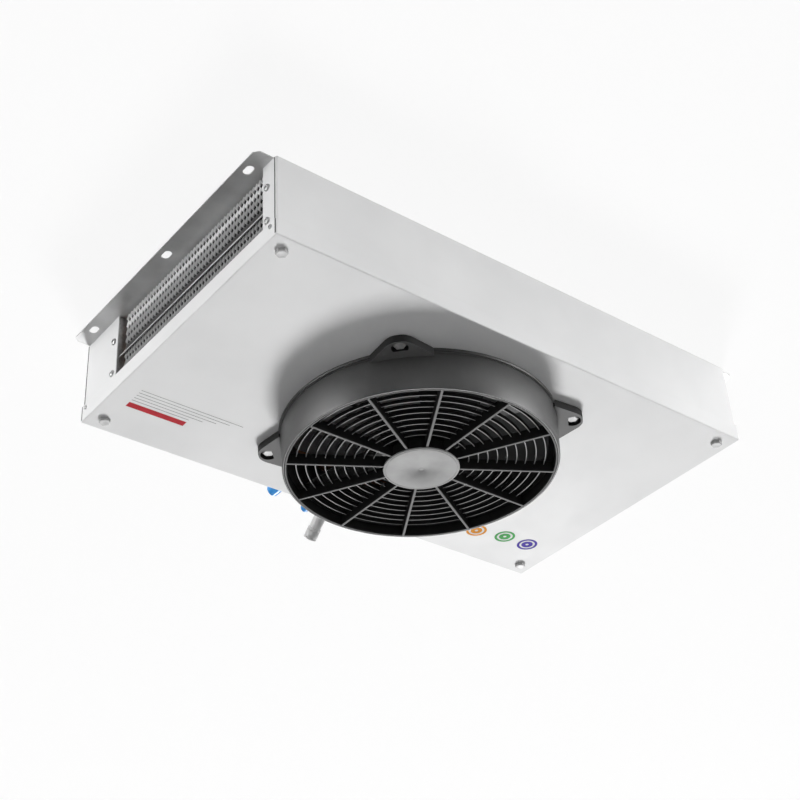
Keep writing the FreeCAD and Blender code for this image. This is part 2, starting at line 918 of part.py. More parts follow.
def make_suction_manifold():
    """A header at each coil, the line that joins them and the stub that leaves the case."""
    coil_end = far_opening + s.tube_sheet_wall + s.tube_stub
    header_y = coil_end + s.row_height / 2 + s.tube_radius + s.suction_radius + s.header_gap
    header_x = fin_face - s.row_depth / 2
    radius = float(s.suction_radius)
    route = [
        (-header_x, header_y, suction_level),
        (-header_x, suction_line_y, suction_level),
        (header_x, suction_line_y, suction_level),
        (header_x, header_y, suction_level),
    ]
    line = bent_tube(route, radius, 1.8 * radius, HEAD_SIDES)
    pieces = [line]
    for side in (-1, 1):
        low = lowest_row - s.header_overlap
        high = suction_level + s.suction_radius + 2
        pieces.append(upright_tube(side * header_x, header_y, low, high, s.suction_radius))
        mouth = Vector(float(side * header_x), float(coil_end), float(lowest_row))
        inlet_length = float(header_y - coil_end)
        pieces.append(
            straight_tube(TUBE_SIDES, float(s.tube_radius), mouth, Vector(0, 1, 0), inlet_length)
        )
    stub_length = float(side_face + s.suction_reach - suction_line_y)
    foot = Vector(float(s.suction_place), float(suction_line_y), float(suction_level))
    pieces.append(Part.makeCylinder(radius, stub_length, foot, Vector(0, 1, 0)))
    shape_node("suction_manifold", pieces[0].multiFuse(pieces[1:]).removeSplitter())


def make_liquid_manifold():
    """The line that feeds both coils, with its stub through the case."""
    feed_x = fin_face - 1.5 * s.row_depth
    feed_y = far_opening + s.tube_sheet_wall + s.tube_stub
    radius = float(s.liquid_radius)
    route = [
        (-feed_x, feed_y, lowest_row),
        (-feed_x, liquid_line_y, lowest_row),
        (feed_x, liquid_line_y, lowest_row),
        (feed_x, feed_y, lowest_row),
    ]
    line = bent_tube(route, radius, 2.5 * radius, HEAD_SIDES)
    stub_length = float(side_face + s.liquid_reach - liquid_line_y)
    foot = Vector(float(s.liquid_place), float(liquid_line_y), float(lowest_row))
    stub = Part.makeCylinder(radius, stub_length, foot, Vector(0, 1, 0))
    shape_node("liquid_manifold", line.fuse(stub).removeSplitter())


def along_y(label, x, z, outlines):
    """A round piece turned about a line through (x, z) that points along Y."""
    body = new_body(label)
    sketch = sketch_on(body, "XZ_Plane")
    for points in outlines:
        outline(sketch, points)
    revolve(body, sketch)
    put(body, x, 0, z, TO_PLUS_Y)
    keep(body, label)


def make_cap(label, x, z, reach, radius):
    """A push-on cap that keeps an unconnected stub clean."""
    inner = radius + s.cap_gap
    outer = inner + s.cap_wall
    end = side_face + reach
    mouth = end - s.cap_length
    head = end + s.cap_wall
    points = [
        (inner, mouth),
        (outer, mouth),
        (outer, head),
        (0, head),
        (0, end),
        (inner, end),
    ]
    along_y(label, x, z, [points])


def make_grommet(label, x, z, radius):
    """A rubber ring that seals a pipe where it leaves the case, with a lip on the outside."""
    neck = radius + s.grommet_wall
    rim = neck + s.grommet_rim
    lip = (s.grommet_length - s.sheet_wall) / 2
    start = side_face - s.sheet_wall - lip
    length = s.grommet_length
    bore = radius / cosine(180 / GROMMET_SIDES)
    body = column(label + "_neck", GROMMET_SIDES, neck, length, x, start, z, TO_PLUS_Y)
    outer = column(label + "_lip", GROMMET_SIDES, rim, lip, x, side_face, z, TO_PLUS_Y)
    hole = column(label + "_bore", GROMMET_SIDES, bore, length, x, start, z, TO_PLUS_Y)
    keep(cut(label + "_ring", fuse(label + "_blank", [body, outer]), hole), label)


def make_pipework():
    make_suction_manifold()
    make_liquid_manifold()
    make_cap("suction_cap", s.suction_place, suction_level, s.suction_reach, s.suction_radius)
    make_cap("liquid_cap", s.liquid_place, lowest_row, s.liquid_reach, s.liquid_radius)
    make_grommet("suction_grommet", s.suction_place, suction_level, s.suction_radius)
    make_grommet("liquid_grommet", s.liquid_place, lowest_row, s.liquid_radius)


def pipe_holes():
    """Holes of the far wall as (x, z, radius): both pipes, the cable gland, the drain's notch."""
    rim = s.grommet_wall
    return [
        (s.suction_place, suction_level, s.suction_radius + rim),
        (s.liquid_place, lowest_row, s.liquid_radius + rim),
        (s.box_place, gland_level(), s.gland_radius),
        (s.drain_place, -s.drain_drop, s.drain_radius + s.drain_notch),
    ]


# Drain outlet


def make_drain_outlet():
    """A tube through the pan's lip that bends down, with a thicker threaded end."""
    x = float(s.drain_place)
    level = -float(s.drain_drop)
    start = float(half_width - s.pan_wall) - 4
    corner = float(half_width) + float(s.drain_straight) / 2 + float(s.drain_nut_height)
    tilt = math.radians(float(s.drain_tilt))
    heading = Vector(0, math.cos(tilt), -math.sin(tilt))
    knee = Vector(x, corner, level)
    end = knee + heading * float(s.drain_reach)
    route = [(x, start, level), tuple(knee), tuple(end)]
    radius = float(s.drain_radius)
    inside = float(s.drain_bore)
    thread = float(s.drain_thread_length)
    bend = 1.6 * radius
    tube = bent_tube(route, radius, bend, GROMMET_SIDES)
    hollow = bent_tube(route, inside, bend, GROMMET_SIDES)
    sleeve = Part.makeCylinder(radius + float(s.drain_thread_wall), thread, end - heading * thread, heading)
    flange_foot = Vector(x, float(half_width - s.pan_wall) - 2, level)
    flange = straight_tube(GROMMET_SIDES, radius + 1.5, flange_foot, Vector(0, 1, 0), 2)
    solid = tube.fuse(sleeve).fuse(flange).cut(hollow).removeSplitter()
    shape_node("drain_outlet", solid)


def make_drain_fittings():
    """The sealing ring and the nut that clamp the outlet to the pan's lip."""
    x = s.drain_place
    level = -s.drain_drop
    sides = GROMMET_SIDES
    bore = s.drain_radius
    thick = s.gasket_height
    disc = column("gasket_disc", sides, bore + s.gasket_wall, thick, x, half_width, level, TO_PLUS_Y)
    hole = column("gasket_hole", sides, bore, thick, x, half_width, level, TO_PLUS_Y)
    keep(cut("drain_gasket_ring", disc, hole), "drain_gasket")
    seat = half_width + thick
    high = s.drain_nut_height
    nut = prism("nut_body", s.drain_nut_flats, high, x, seat, level, TO_PLUS_Y)
    nut_hole = column("nut_hole", sides, bore, high, x, seat, level, TO_PLUS_Y)
    keep(cut("drain_nut_ring", nut, nut_hole), "drain_nut")


# Fan shroud and guard


def make_fan_shroud():
    """The moulded ring round the fan, with a duct up through the pan and four bolting ears."""
    body = new_body("fan_shroud")
    profile = sketch_on(body, "XZ_Plane")
    inner = s.duct_radius
    seat = -s.case_depth
    rim_inner = s.duct_radius + s.guard_rim + s.guard_gap
    foot = shroud_outer + s.shroud_foot
    step = guard_top + 0.6
    rim_outer = rim_inner + s.shroud_wall
    points = [
        (inner, seat + s.duct_rise),
        (inner, step),
        (rim_inner, step),
        (rim_inner, fan_rim),
        (rim_outer, fan_rim),
        (foot, seat - 4),
        (foot + 1.5, seat),
        (shroud_outer, seat),
        (shroud_outer, seat + s.duct_rise),
    ]
    outline(profile, points)
    revolve(body, profile)
    lug = sketch_on(body, "XY_Plane", seat, FIRST_EAR_ANGLE)
    root = shroud_outer + 3
    outline(
        lug,
        [
            (root, -s.ear_half_width),
            (s.ear_tip - 8, -s.ear_tip_half_width - 2),
            (s.ear_tip - 2.5, -s.ear_tip_half_width + 2),
            (s.ear_tip, 0),
            (s.ear_tip - 2.5, s.ear_tip_half_width - 2),
            (s.ear_tip - 8, s.ear_tip_half_width + 2),
            (root, s.ear_half_width),
        ],
    )
    lug_pad = pad(body, lug, s.ear_height, down=True)
    well = sketch_on(body, "XY_Plane", seat - s.ear_height, FIRST_EAR_ANGLE)
    rib = s.ear_rib
    well_root = foot + 0.6
    outline(
        well,
        [
            (well_root, -s.ear_half_width + 3 * rib),
            (s.ear_tip - 9, -s.ear_tip_half_width - 2 + rib),
            (s.ear_tip - 4.5, -s.ear_tip_half_width + 2 + rib),
            (s.ear_tip - rib, 0),
            (s.ear_tip - 4.5, s.ear_tip_half_width - 2 - rib),
            (s.ear_tip - 9, s.ear_tip_half_width + 2 - rib),
            (well_root, s.ear_half_width - 3 * rib),
        ],
    )
    well_cut = pocket(body, well, s.ear_height - s.ear_floor, up=True)
    hole = sketch_on(body, "XY_Plane", seat - s.ear_floor, FIRST_EAR_ANGLE)
    regular(hole, s.ear_radius, 0, STEM_SIDES, s.bolt_radius + s.bolt_hole_gap)
    hole_cut = pocket(body, hole, s.ear_floor, up=True)
    round_pattern(body, [lug_pad, well_cut, hole_cut], EAR_COUNT)
    keep(body, "fan_shroud")


def radial_box(name, angle, inner, outer, wall, low, height):
    """A wall that runs outward from the fan's axis at an angle."""
    piece = doc.addObject("Part::Box", name)
    tie(piece, "Length", outer - inner)
    tie(piece, "Width", wall)
    tie(piece, "Height", height)
    run, climb = cosine(angle), sine(angle)
    x = inner * run + wall / 2 * climb
    y = inner * climb - wall / 2 * run
    return put(piece, x, y, low, Rotation(Vector(0, 0, 1), angle))


def round_ring(name, inner, outer, low, height):
    hollow = cylinder(name + "_hollow", inner, height, 0, 0, low)
    return cut(name, cylinder(name + "_outside", outer, height, 0, 0, low), hollow)


def make_guard_grille():
    """The round guard: a rim, thin tall rings and deep radial spokes round a motor plate."""
    rim_inner = s.duct_radius
    hub = s.guard_hub_radius
    hub_inner = hub - s.guard_hub_wall
    plate_foot = guard_top - s.guard_plate
    depth = s.guard_depth
    pieces = [
        round_ring("guard_rim", rim_inner - 0.4, rim_inner + s.guard_rim, fan_rim, depth),
        round_ring("guard_hub", hub_inner, hub, fan_rim, depth),
        ring_column(
            "guard_plate", CORE_SIDES, s.screw_radius * 2, hub - 1, plate_foot, s.guard_plate
        ),
    ]
    pitch = (rim_inner - s.hub_cap_radius) / (RING_COUNT + 1)
    half = s.ring_wall / 2
    low = guard_top - s.ring_height
    for step in range(1, RING_COUNT + 1):
        middle = s.hub_cap_radius + step * pitch
        name = "guard_ring_%d" % step
        pieces.append(ring_column(name, RING_SIDES, middle - half, middle + half, low, s.ring_height))
    for step in range(SPOKE_COUNT):
        name = "guard_spoke_%d" % step
        angle = 360 / SPOKE_COUNT * step
        pieces.append(radial_box(name, angle, hub - 1, rim_inner + 0.5, s.spoke_wall, fan_rim, depth))
    holes = [
        column("guard_hole_%d" % index, STEM_SIDES, s.screw_radius + 0.1, s.guard_plate, x, y, plate_foot)
        for index, (x, y) in enumerate(motor_screw_places())
    ]
    grid = fuse("guard_grid", pieces)
    keep(cut("guard_grille_body", grid, group("guard_holes", holes)), "guard_grille")


def motor_screw_places():
    radius = s.motor_base_radius - 8
    return [(radius * cosine(angle), radius * sine(angle)) for angle in (45, 135, 225, 315)]


def make_hub_cap():
    """The smooth disc that closes the middle of the guard, with a snap-in skirt."""
    radius = s.hub_cap_radius
    wall = s.hub_cap_wall
    skirt = s.guard_hub_radius - s.guard_hub_wall - 0.1
    face = fan_rim - wall
    body = turned(
        "hub_cap",
        [
            (0, face),
            (radius - 0.8, face),
            (radius, face + 0.8),
            (radius, fan_rim),
            (skirt, fan_rim),
            (skirt, fan_rim + s.hub_cap_skirt),
            (skirt - 1.6, fan_rim + s.hub_cap_skirt),
            (skirt - 1.6, fan_rim),
            (0, fan_rim),
        ],
    )
    keep(body, "hub_cap")


def make_ear_fasteners():
    """Four bolts through the ears and the pan, each with a nut above the pan."""
    seat = -s.case_depth - s.ear_floor
    bolts = []
    nuts = []
    nut_height = 6.5
    for index, (x, y) in enumerate(ear_places()):
        shank = s.ear_floor + s.pan_wall + nut_height + 3
        bolts.append(hex_bolt("ear_bolt_%d" % index, x, y, seat, shank))
        body = prism("ear_nut_body_%d" % index, s.bolt_flats, nut_height, x, y, pan_floor)
        hole_name = "ear_nut_hole_%d" % index
        hole = column(hole_name, STEM_SIDES, s.bolt_radius, nut_height, x, y, pan_floor)
        nuts.append(cut("ear_nut_%d" % index, body, hole))
    keep(group("ear_bolts_group", bolts), "ear_bolts")
    keep(group("ear_nuts_group", nuts), "ear_nuts")


# Motor


def make_motor():
    """An outer-rotor motor: base and bearings stand on the guard, the can turns with the fan."""
    base_top = motor_seat + s.motor_base_wall
    tube_top = base_top + s.bearing_tube
    tube = bearing_tube_radius
    bore = s.bearing_radius
    shoulder = s.shaft_radius + 3
    low_seat = base_top + s.bearing_width
    high_seat = tube_top - s.bearing_width
    base = turned(
        "motor_base",
        [
            (bore, motor_seat),
            (s.motor_base_radius, motor_seat),
            (s.motor_base_radius, base_top),
            (tube + 3, base_top),
            (tube + 3, core_foot),
            (tube, core_foot),
            (tube, tube_top),
            (bore, tube_top),
            (bore, high_seat),
            (shoulder, high_seat),
            (shoulder, low_seat),
            (bore, low_seat),
        ],
    )
    holes = sketch_on(base, "XY_Plane", base_top)
    for x, y in motor_screw_places():
        regular(holes, x, y, STEM_SIDES, s.screw_radius)
    pocket(base, holes, s.motor_base_wall)
    keep(base, "motor_base")
    core_top = core_foot + s.core_height
    high = s.winding_height
    opening = tube / cosine(180 / CORE_SIDES)
    core = ring_column("core_stack", CORE_SIDES, opening, s.core_radius, core_foot, s.core_height)
    keep(core, "stator_core")
    outer = s.core_radius - 3
    rings = [
        ring_column("winding_low", CORE_SIDES, tube + 3.4, outer, core_foot - high, high),
        ring_column("winding_high", CORE_SIDES, tube + 2, outer, core_top, high),
    ]
    keep(group("winding_rings", rings), "stator_windings")
    width = s.bearing_width
    for label, foot in (("lower_bearing", low_seat), ("upper_bearing", tube_top)):
        race = cylinder(label + "_race", s.shaft_radius + s.shaft_gap, width, 0, 0, foot - width)
        ring = column(label + "_ring", CORE_SIDES, bore, width, 0, 0, foot - width)
        keep(cut(label + "_body", ring, race), label)
    can = s.rotor_radius
    inside = s.core_radius + s.air_gap
    keep(
        turned(
            "rotor_can",
            [
                (inside, rotor_foot),
                (can, rotor_foot),
                (can, rotor_head),
                (s.shaft_radius, rotor_head),
                (s.shaft_radius, rotor_head - s.rotor_wall),
                (inside, rotor_head - s.rotor_wall),
            ],
        ),
        "rotor_can",
    )
    shaft_foot = motor_seat + 1
    length = rotor_head + 2 - shaft_foot
    keep(cylinder("shaft_rod", s.shaft_radius, length, 0, 0, shaft_foot), "motor_shaft")


def pan_head_screw(name, x, y, z, shank, turn, small=False):
    """A round-headed screw whose head lies on the outside of its seat; the shank points inward."""
    radius = s.pin_screw_radius if small else s.screw_radius
    head_radius = s.pin_head_radius if small else s.screw_head_radius
    head_height = s.pin_head if small else s.screw_head
    head = column(name + "_head", HEAD_SIDES, head_radius, head_height, 0, 0, 0)
    stem = column(name + "_stem", STEM_SIDES, radius, shank, 0, 0, -shank)
    whole = fuse(name, [head, stem])
    return put(whole, x, y, z, turn)


def make_motor_screws():
    plate_foot = guard_top - s.guard_plate
    shank = s.guard_plate + s.motor_base_wall
    screws = [
        pan_head_screw("motor_screw_%d" % index, x, y, plate_foot, shank, TO_MINUS_Z)
        for index, (x, y) in enumerate(motor_screw_places())
    ]
    keep(group("motor_screws_group", screws), "motor_screws")


# Impeller


def blade_section(body, share, chord, slope, shift, sag):
    """One section of a blade at a share of the tip radius: a bent strip of even thickness."""
    sketch = sketch_on(body, "YZ_Plane", -blade_tip * share)
    run, climb = cosine(slope), sine(slope)
    lower, upper = [], []
    for step in range(BLADE_STEPS + 1):
        across = 2 * step / BLADE_STEPS - 1
        along = chord / 2 * across
        rise = sag * (1 - across**2)
        y = shift + along * run - rise * climb
        z = blade_level + along * climb + rise * run
        lower.append((y, z))
        upper.append((y - s.blade_wall * climb, z + s.blade_wall * run))
    outline(sketch, lower + upper[::-1])
    return sketch


def make_impeller():
    """Five swept blades on a hub that drops over the rotor can."""
    hub_top = rotor_head + s.hub_wall
    body = turned(
        "impeller",
        [
            (s.rotor_radius, rotor_foot + 2),
            (s.hub_radius, rotor_foot + 2),
            (s.hub_radius, hub_top - 4),
            (s.hub_radius - 4, hub_top),
            (s.shaft_radius * 3, hub_top),
            (s.shaft_radius * 3, rotor_head),
            (s.rotor_radius, rotor_head),
        ],
    )
    sections = [
        blade_section(body, 0.26, s.root_chord, s.root_slope, s.root_shift, s.root_sag),
        blade_section(body, 0.62, s.mid_chord, s.mid_slope, s.mid_shift, s.mid_sag),
        blade_section(body, 1.06, s.tip_chord, s.tip_slope, s.tip_shift, s.tip_sag),
    ]
    doc.recompute()
    loft = body.newObject("PartDesign::AdditiveLoft", "impeller_blade")
    loft.Profile = sections[0]
    loft.Sections = sections[1:]
    doc.recompute()
    round_pattern(body, [loft], BLADE_COUNT)
    trim = sketch_on(body, "XZ_Plane")
    outline(trim, ring_outline(blade_tip, blade_tip * 1.4, fan_rim, -s.case_depth + 60))
    groove(body, trim)
    keep(body, "impeller")


# Electrical pieces


def gland_level():
    return -s.box_drop - s.box_height / 2


def make_terminal_box():
    """A moulded box on the inside of the far wall, open towards the fan and closed by a lid."""
    wall = s.box_wall
    back = side_face - s.sheet_wall
    x_low = s.box_place - s.box_length / 2
    y_low = back - s.box_depth
    z_low = -s.box_drop - s.box_height
    shell = box("terminal_box_block", x_low, y_low, z_low, s.box_length, s.box_depth, s.box_height)
    hollow = box(
        "terminal_box_hollow",
        x_low + wall,
        y_low,
        z_low + wall,
        s.box_length - 2 * wall,
        s.box_depth - wall,
        s.box_height - 2 * wall,
    )
    tray = cut("terminal_box_tray", shell, hollow)
    hole = cylinder(
        "terminal_box_hole", s.gland_radius, 2 * wall, s.box_place, back - wall, gland_level(), TO_PLUS_Y
    )
    keep(cut("terminal_box_shell", tray, hole), "terminal_box")
    lid = box(
        "terminal_lid_plate",
        x_low,
        y_low - wall,
        z_low,
        s.box_length,
        wall,
        s.box_height,
    )
    keep(lid, "terminal_box_lid")


def make_terminal_block():
    """A row of screw terminals on the floor of the box."""
    wall = s.box_wall
    pitch = s.block_length / TERMINAL_COUNT
    z_low = -s.box_drop - s.box_height + wall
    y_low = side_face - s.sheet_wall - s.box_depth + 4
    x_low = s.box_place - s.block_length / 2
    base = box("terminal_base", x_low, y_low, z_low, s.block_length, 16, 5)
    pieces = [base]
    for step in range(TERMINAL_COUNT):
        post_x = x_low + step * pitch + 1
        pieces.append(box("terminal_post_%d" % step, post_x, y_low + 2, z_low + 5, pitch - 2, 12, 6))
    keep(fuse("terminal_block_row", pieces), "terminal_block")


def make_cable_gland():
    """The gland through the far wall, and its nut inside the terminal box."""
    face = side_face
    thread_end = side_face - s.sheet_wall - s.box_wall - 6
    reach = 16
    level = gland_level()
    across = s.gland_flats
    collar = prism("gland_collar", across, 5, s.box_place, face, level, TO_PLUS_Y)
    dome = column(
        "gland_dome", HEAD_SIDES, across / 2 - 1.5, reach - 5, s.box_place, face + 5, level, TO_PLUS_Y
    )
    stem = column(
        "gland_stem",
        HEAD_SIDES,
        s.gland_radius,
        face - thread_end,
        s.box_place,
        thread_end,
        level,
        TO_PLUS_Y,
    )
    solid = fuse("gland_solid", [collar, dome, stem])
    bore = cylinder(
        "gland_bore_tool", s.gland_bore, reach + 30, s.box_place, thread_end - 5, level, TO_PLUS_Y
    )
    keep(cut("gland_cut", solid, bore), "cable_gland")
    nut_y = side_face - s.sheet_wall - s.box_wall - 5
    nut = prism("gland_nut_body", across, 5, s.box_place, nut_y, level, TO_PLUS_Y)
    nut_hole = column(
        "gland_nut_hole", HEAD_SIDES, s.gland_radius, 5, s.box_place, nut_y, level, TO_PLUS_Y
    )
    keep(cut("gland_nut_ring", nut, nut_hole), "gland_nut")


# Case screws


def make_case_screws():
    """Screws through the end returns into the tube sheets, and small ones through the pan's lip."""
    screws = []
    small = []
    shank = s.sheet_wall + s.tube_sheet_wall + 4
    for side_name, side in SIDES:
        turn = TO_PLUS_X if side > 0 else TO_MINUS_X
        for end, face in ((-1, near_opening), (1, far_opening)):
            y = face + end * s.screw_inset
            for level in (-37, -86):
                name = "case_screw_%s_%d_%d" % (side_name, end, -level)
                screws.append(pan_head_screw(name, side * end_face, y, level, shank, turn))
        for end in (-1, 1):
            name = "lip_screw_%s_%d" % (side_name, end)
            y = end * (side_face - 10)
            level = -s.case_depth + s.pan_lip - 6
            shank_small = s.pan_wall + s.lip_gap + s.sheet_wall + 3
            small.append(
                pan_head_screw(name, side * half_length, y, level, shank_small, turn, small=True)
            )
    keep(group("case_screws_group", screws), "case_screws")
    keep(group("lip_screws_group", small), "lip_screws")


def check_and_write():
    """Every piece must have rebuilt and be a valid solid before anything is written."""
    doc.recompute()
    faults = [item.Name for item in doc.Objects if {"Invalid", "Error"} & set(item.State)]
    if faults:
        raise RuntimeError("not rebuilt: " + ", ".join(faults))
    for piece in nodes:
        shape = piece.Shape
        if shape.isNull() or not shape.isValid() or not shape.Solids:
            raise RuntimeError("no valid solid: " + piece.Label)
    os.makedirs("parts", exist_ok=True)
    for piece in nodes:
        piece.Shape.exportStep(os.path.join("parts", piece.Label + ".step"))
        print("%-24s %3d solids %12.1f mm3" % (piece.Label, len(piece.Shape.Solids), piece.Shape.Volume))


make_top_panel()
make_side_panel("near_side_panel", -1, s.near_jamb, [])
make_side_panel("far_side_panel", 1, s.far_jamb, pipe_holes())
make_drain_pan()
make_corner_bolts()
make_corner_brackets()
make_coils()
make_pipework()
make_drain_outlet()
make_drain_fittings()
make_fan_shroud()
make_guard_grille()
make_hub_cap()
make_ear_fasteners()
make_motor()
make_motor_screws()
make_impeller()
make_terminal_box()
make_terminal_block()
make_cable_gland()
make_case_screws()
check_and_write()
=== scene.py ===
import json
import math

import bmesh
import bpy
from mathutils import Matrix, Vector


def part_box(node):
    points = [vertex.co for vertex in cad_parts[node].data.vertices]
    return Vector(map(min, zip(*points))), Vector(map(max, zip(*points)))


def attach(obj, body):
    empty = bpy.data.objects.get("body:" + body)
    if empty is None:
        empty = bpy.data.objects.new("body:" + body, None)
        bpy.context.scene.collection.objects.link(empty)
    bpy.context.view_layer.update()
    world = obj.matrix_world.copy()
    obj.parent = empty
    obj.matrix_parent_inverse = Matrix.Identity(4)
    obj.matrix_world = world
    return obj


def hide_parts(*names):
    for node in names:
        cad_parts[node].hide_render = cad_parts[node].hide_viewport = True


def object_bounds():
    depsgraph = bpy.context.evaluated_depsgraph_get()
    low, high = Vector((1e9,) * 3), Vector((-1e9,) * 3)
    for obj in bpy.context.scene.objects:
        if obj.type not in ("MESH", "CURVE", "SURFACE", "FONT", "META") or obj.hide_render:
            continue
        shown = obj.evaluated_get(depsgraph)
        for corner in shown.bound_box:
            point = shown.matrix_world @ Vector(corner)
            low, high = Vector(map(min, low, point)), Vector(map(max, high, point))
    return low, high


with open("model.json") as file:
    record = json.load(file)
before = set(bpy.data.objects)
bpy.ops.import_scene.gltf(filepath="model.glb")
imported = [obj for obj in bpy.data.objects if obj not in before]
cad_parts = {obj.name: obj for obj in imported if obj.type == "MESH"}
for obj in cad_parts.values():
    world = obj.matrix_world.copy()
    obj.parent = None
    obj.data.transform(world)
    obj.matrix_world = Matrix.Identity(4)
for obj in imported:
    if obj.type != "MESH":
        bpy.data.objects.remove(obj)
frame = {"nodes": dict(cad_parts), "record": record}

cad_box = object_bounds()

# Metres. The origin is the middle of the face on the ceiling, +Z is up, +X runs along the case
# and +Y points to the side with the pipes. Places come from the frame's own boxes.

MM = 0.001
CASE = "case"

pan_low, pan_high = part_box("drain_pan")
guard_low, guard_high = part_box("guard_grille")
shroud_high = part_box("fan_shroud")[1]
cap_low, cap_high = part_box("hub_cap")
fins_low, fins_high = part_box("left_fin_pack")

# Case and pan
PAN_FACE = pan_low.z
PAN_OUT = 1.5 * MM
PAN_LIP = 23 * MM
END_FACE = pan_high.x - PAN_OUT
SIDE_FACE = pan_high.y - PAN_OUT
CORNER_INSET = 22 * MM
SCREW_LINES = (-200.5 * MM, 145.5 * MM)
SCREW_LEVELS = (-37 * MM, -86 * MM)
LIP_SCREW_INSET = 10 * MM
LIP_SCREW_LEVEL = -101 * MM

# Guard
FAN_RIM = guard_low.z
GUARD_TOP = guard_high.z
GUARD_RADIUS = guard_high.x
HUB_CAP_RADIUS = cap_high.x
GUARD_HUB_RADIUS = HUB_CAP_RADIUS - 2 * MM
GUARD_HUB_WALL = 3 * MM
GUARD_PLATE = 3.5 * MM
GUARD_PLATE_HOLE = 4.2 * MM
RING_COUNT = 9
RING_WALL = 1.6 * MM
RING_HEIGHT = 5 * MM
SPOKE_COUNT = 12
SPOKE_HALF = 1.9 * MM

# Drum with its four ears
DUCT_RADIUS = GUARD_RADIUS - 2.2 * MM
SHROUD_WALL = 2.6 * MM
SHROUD_FOOT = 181.5 * MM
EAR_ANGLES = [45, 135, 225, 315]
EAR_RADIUS = 198 * MM
EAR_TIP = 211 * MM
EAR_HALF = 41 * MM
EAR_TIP_HALF = 15 * MM
EAR_HEIGHT = 10.5 * MM
EAR_FLOOR = 3.4 * MM
EAR_WELL = 10.6 * MM

# Coils
FIN_PITCH = 6.8 * MM
FIN_WALL = 0.3 * MM
FOLD_SWING = 2 * MM
RIPPLE = 0.35 * MM
TUBE_ROW = 24 * MM
# Painted light and shade on the fins: their brightness at shares of their height from the foot up,
# both ends, then between them
FIN_PAINTED_LIGHT_BANDS = (
    (0.0, 0.45),
    (1.0, 1.0),
    (0.35, 0.4),
    (0.39, 0.08),
    (0.5, 0.1),
    (0.54, 0.4),
    (0.77, 0.5),
    (0.81, 1.0),
)

# Bolts
BOLT_FLATS = 13 * MM
BOLT_SHANK = 4 * MM
WASHER_RADIUS = 8 * MM
WASHER_WALL = 1.2 * MM

# Radius and height of the screws' heads
CASE_SCREW_HEAD = (4.6 * MM, 2.6 * MM)
LIP_SCREW_HEAD = (2.9 * MM, 1.8 * MM)

# Stickers and stripes on the pan; a sticker has its name, its place in millimetres and its colour
STICKER_RADIUS = 15 * MM
STICKERS = (
    ("orange_sticker", (228, 156), (0.75, 0.3, 0.03)),
    ("green_sticker", (274, 147), (0.09, 0.42, 0.12)),
    ("violet_sticker", (317, 147), (0.09, 0.06, 0.4)),
)
STRIPE_CORNER = (-342 * MM, 146 * MM)
STRIPE_WIDTH = 10 * MM
STRIPE_LENGTH = 82 * MM
STRIPE_COUNT = 5
STRIPE_STEP = 6 * MM
LINE_WIDTH = 0.9 * MM
PRINT_SHINE = 0.1
PRINT_ROUGH = 0.7

# Drain tube
DRAIN_PLACE = 18 * MM
DRAIN_LEVEL = -106.5 * MM
DRAIN_RADIUS = 8.5 * MM
DRAIN_BORE = 6.8 * MM
DRAIN_SLEEVE = 9.4 * MM
DRAIN_LENGTH = 52 * MM
DRAIN_SLEEVE_LENGTH = 17 * MM
DRAIN_BORE_DEPTH = 14 * MM
DRAIN_TILT = math.radians(40)

# Flat sides round each full circle
RIM_SIDES = 216
DRUM_SIDES = 240
RING_SIDES = 168
DISC_SIDES = 144
PLATE_SIDES = 96
STICKER_SIDES = 72
WASHER_SIDES = 36
SCREW_SIDES = 40
TUBE_SIDES = 40

# Stage
CEILING_REACH = 7.0
FLOOR_REACH = 9.0
FLOOR_LEVEL = -3.0


# Materials


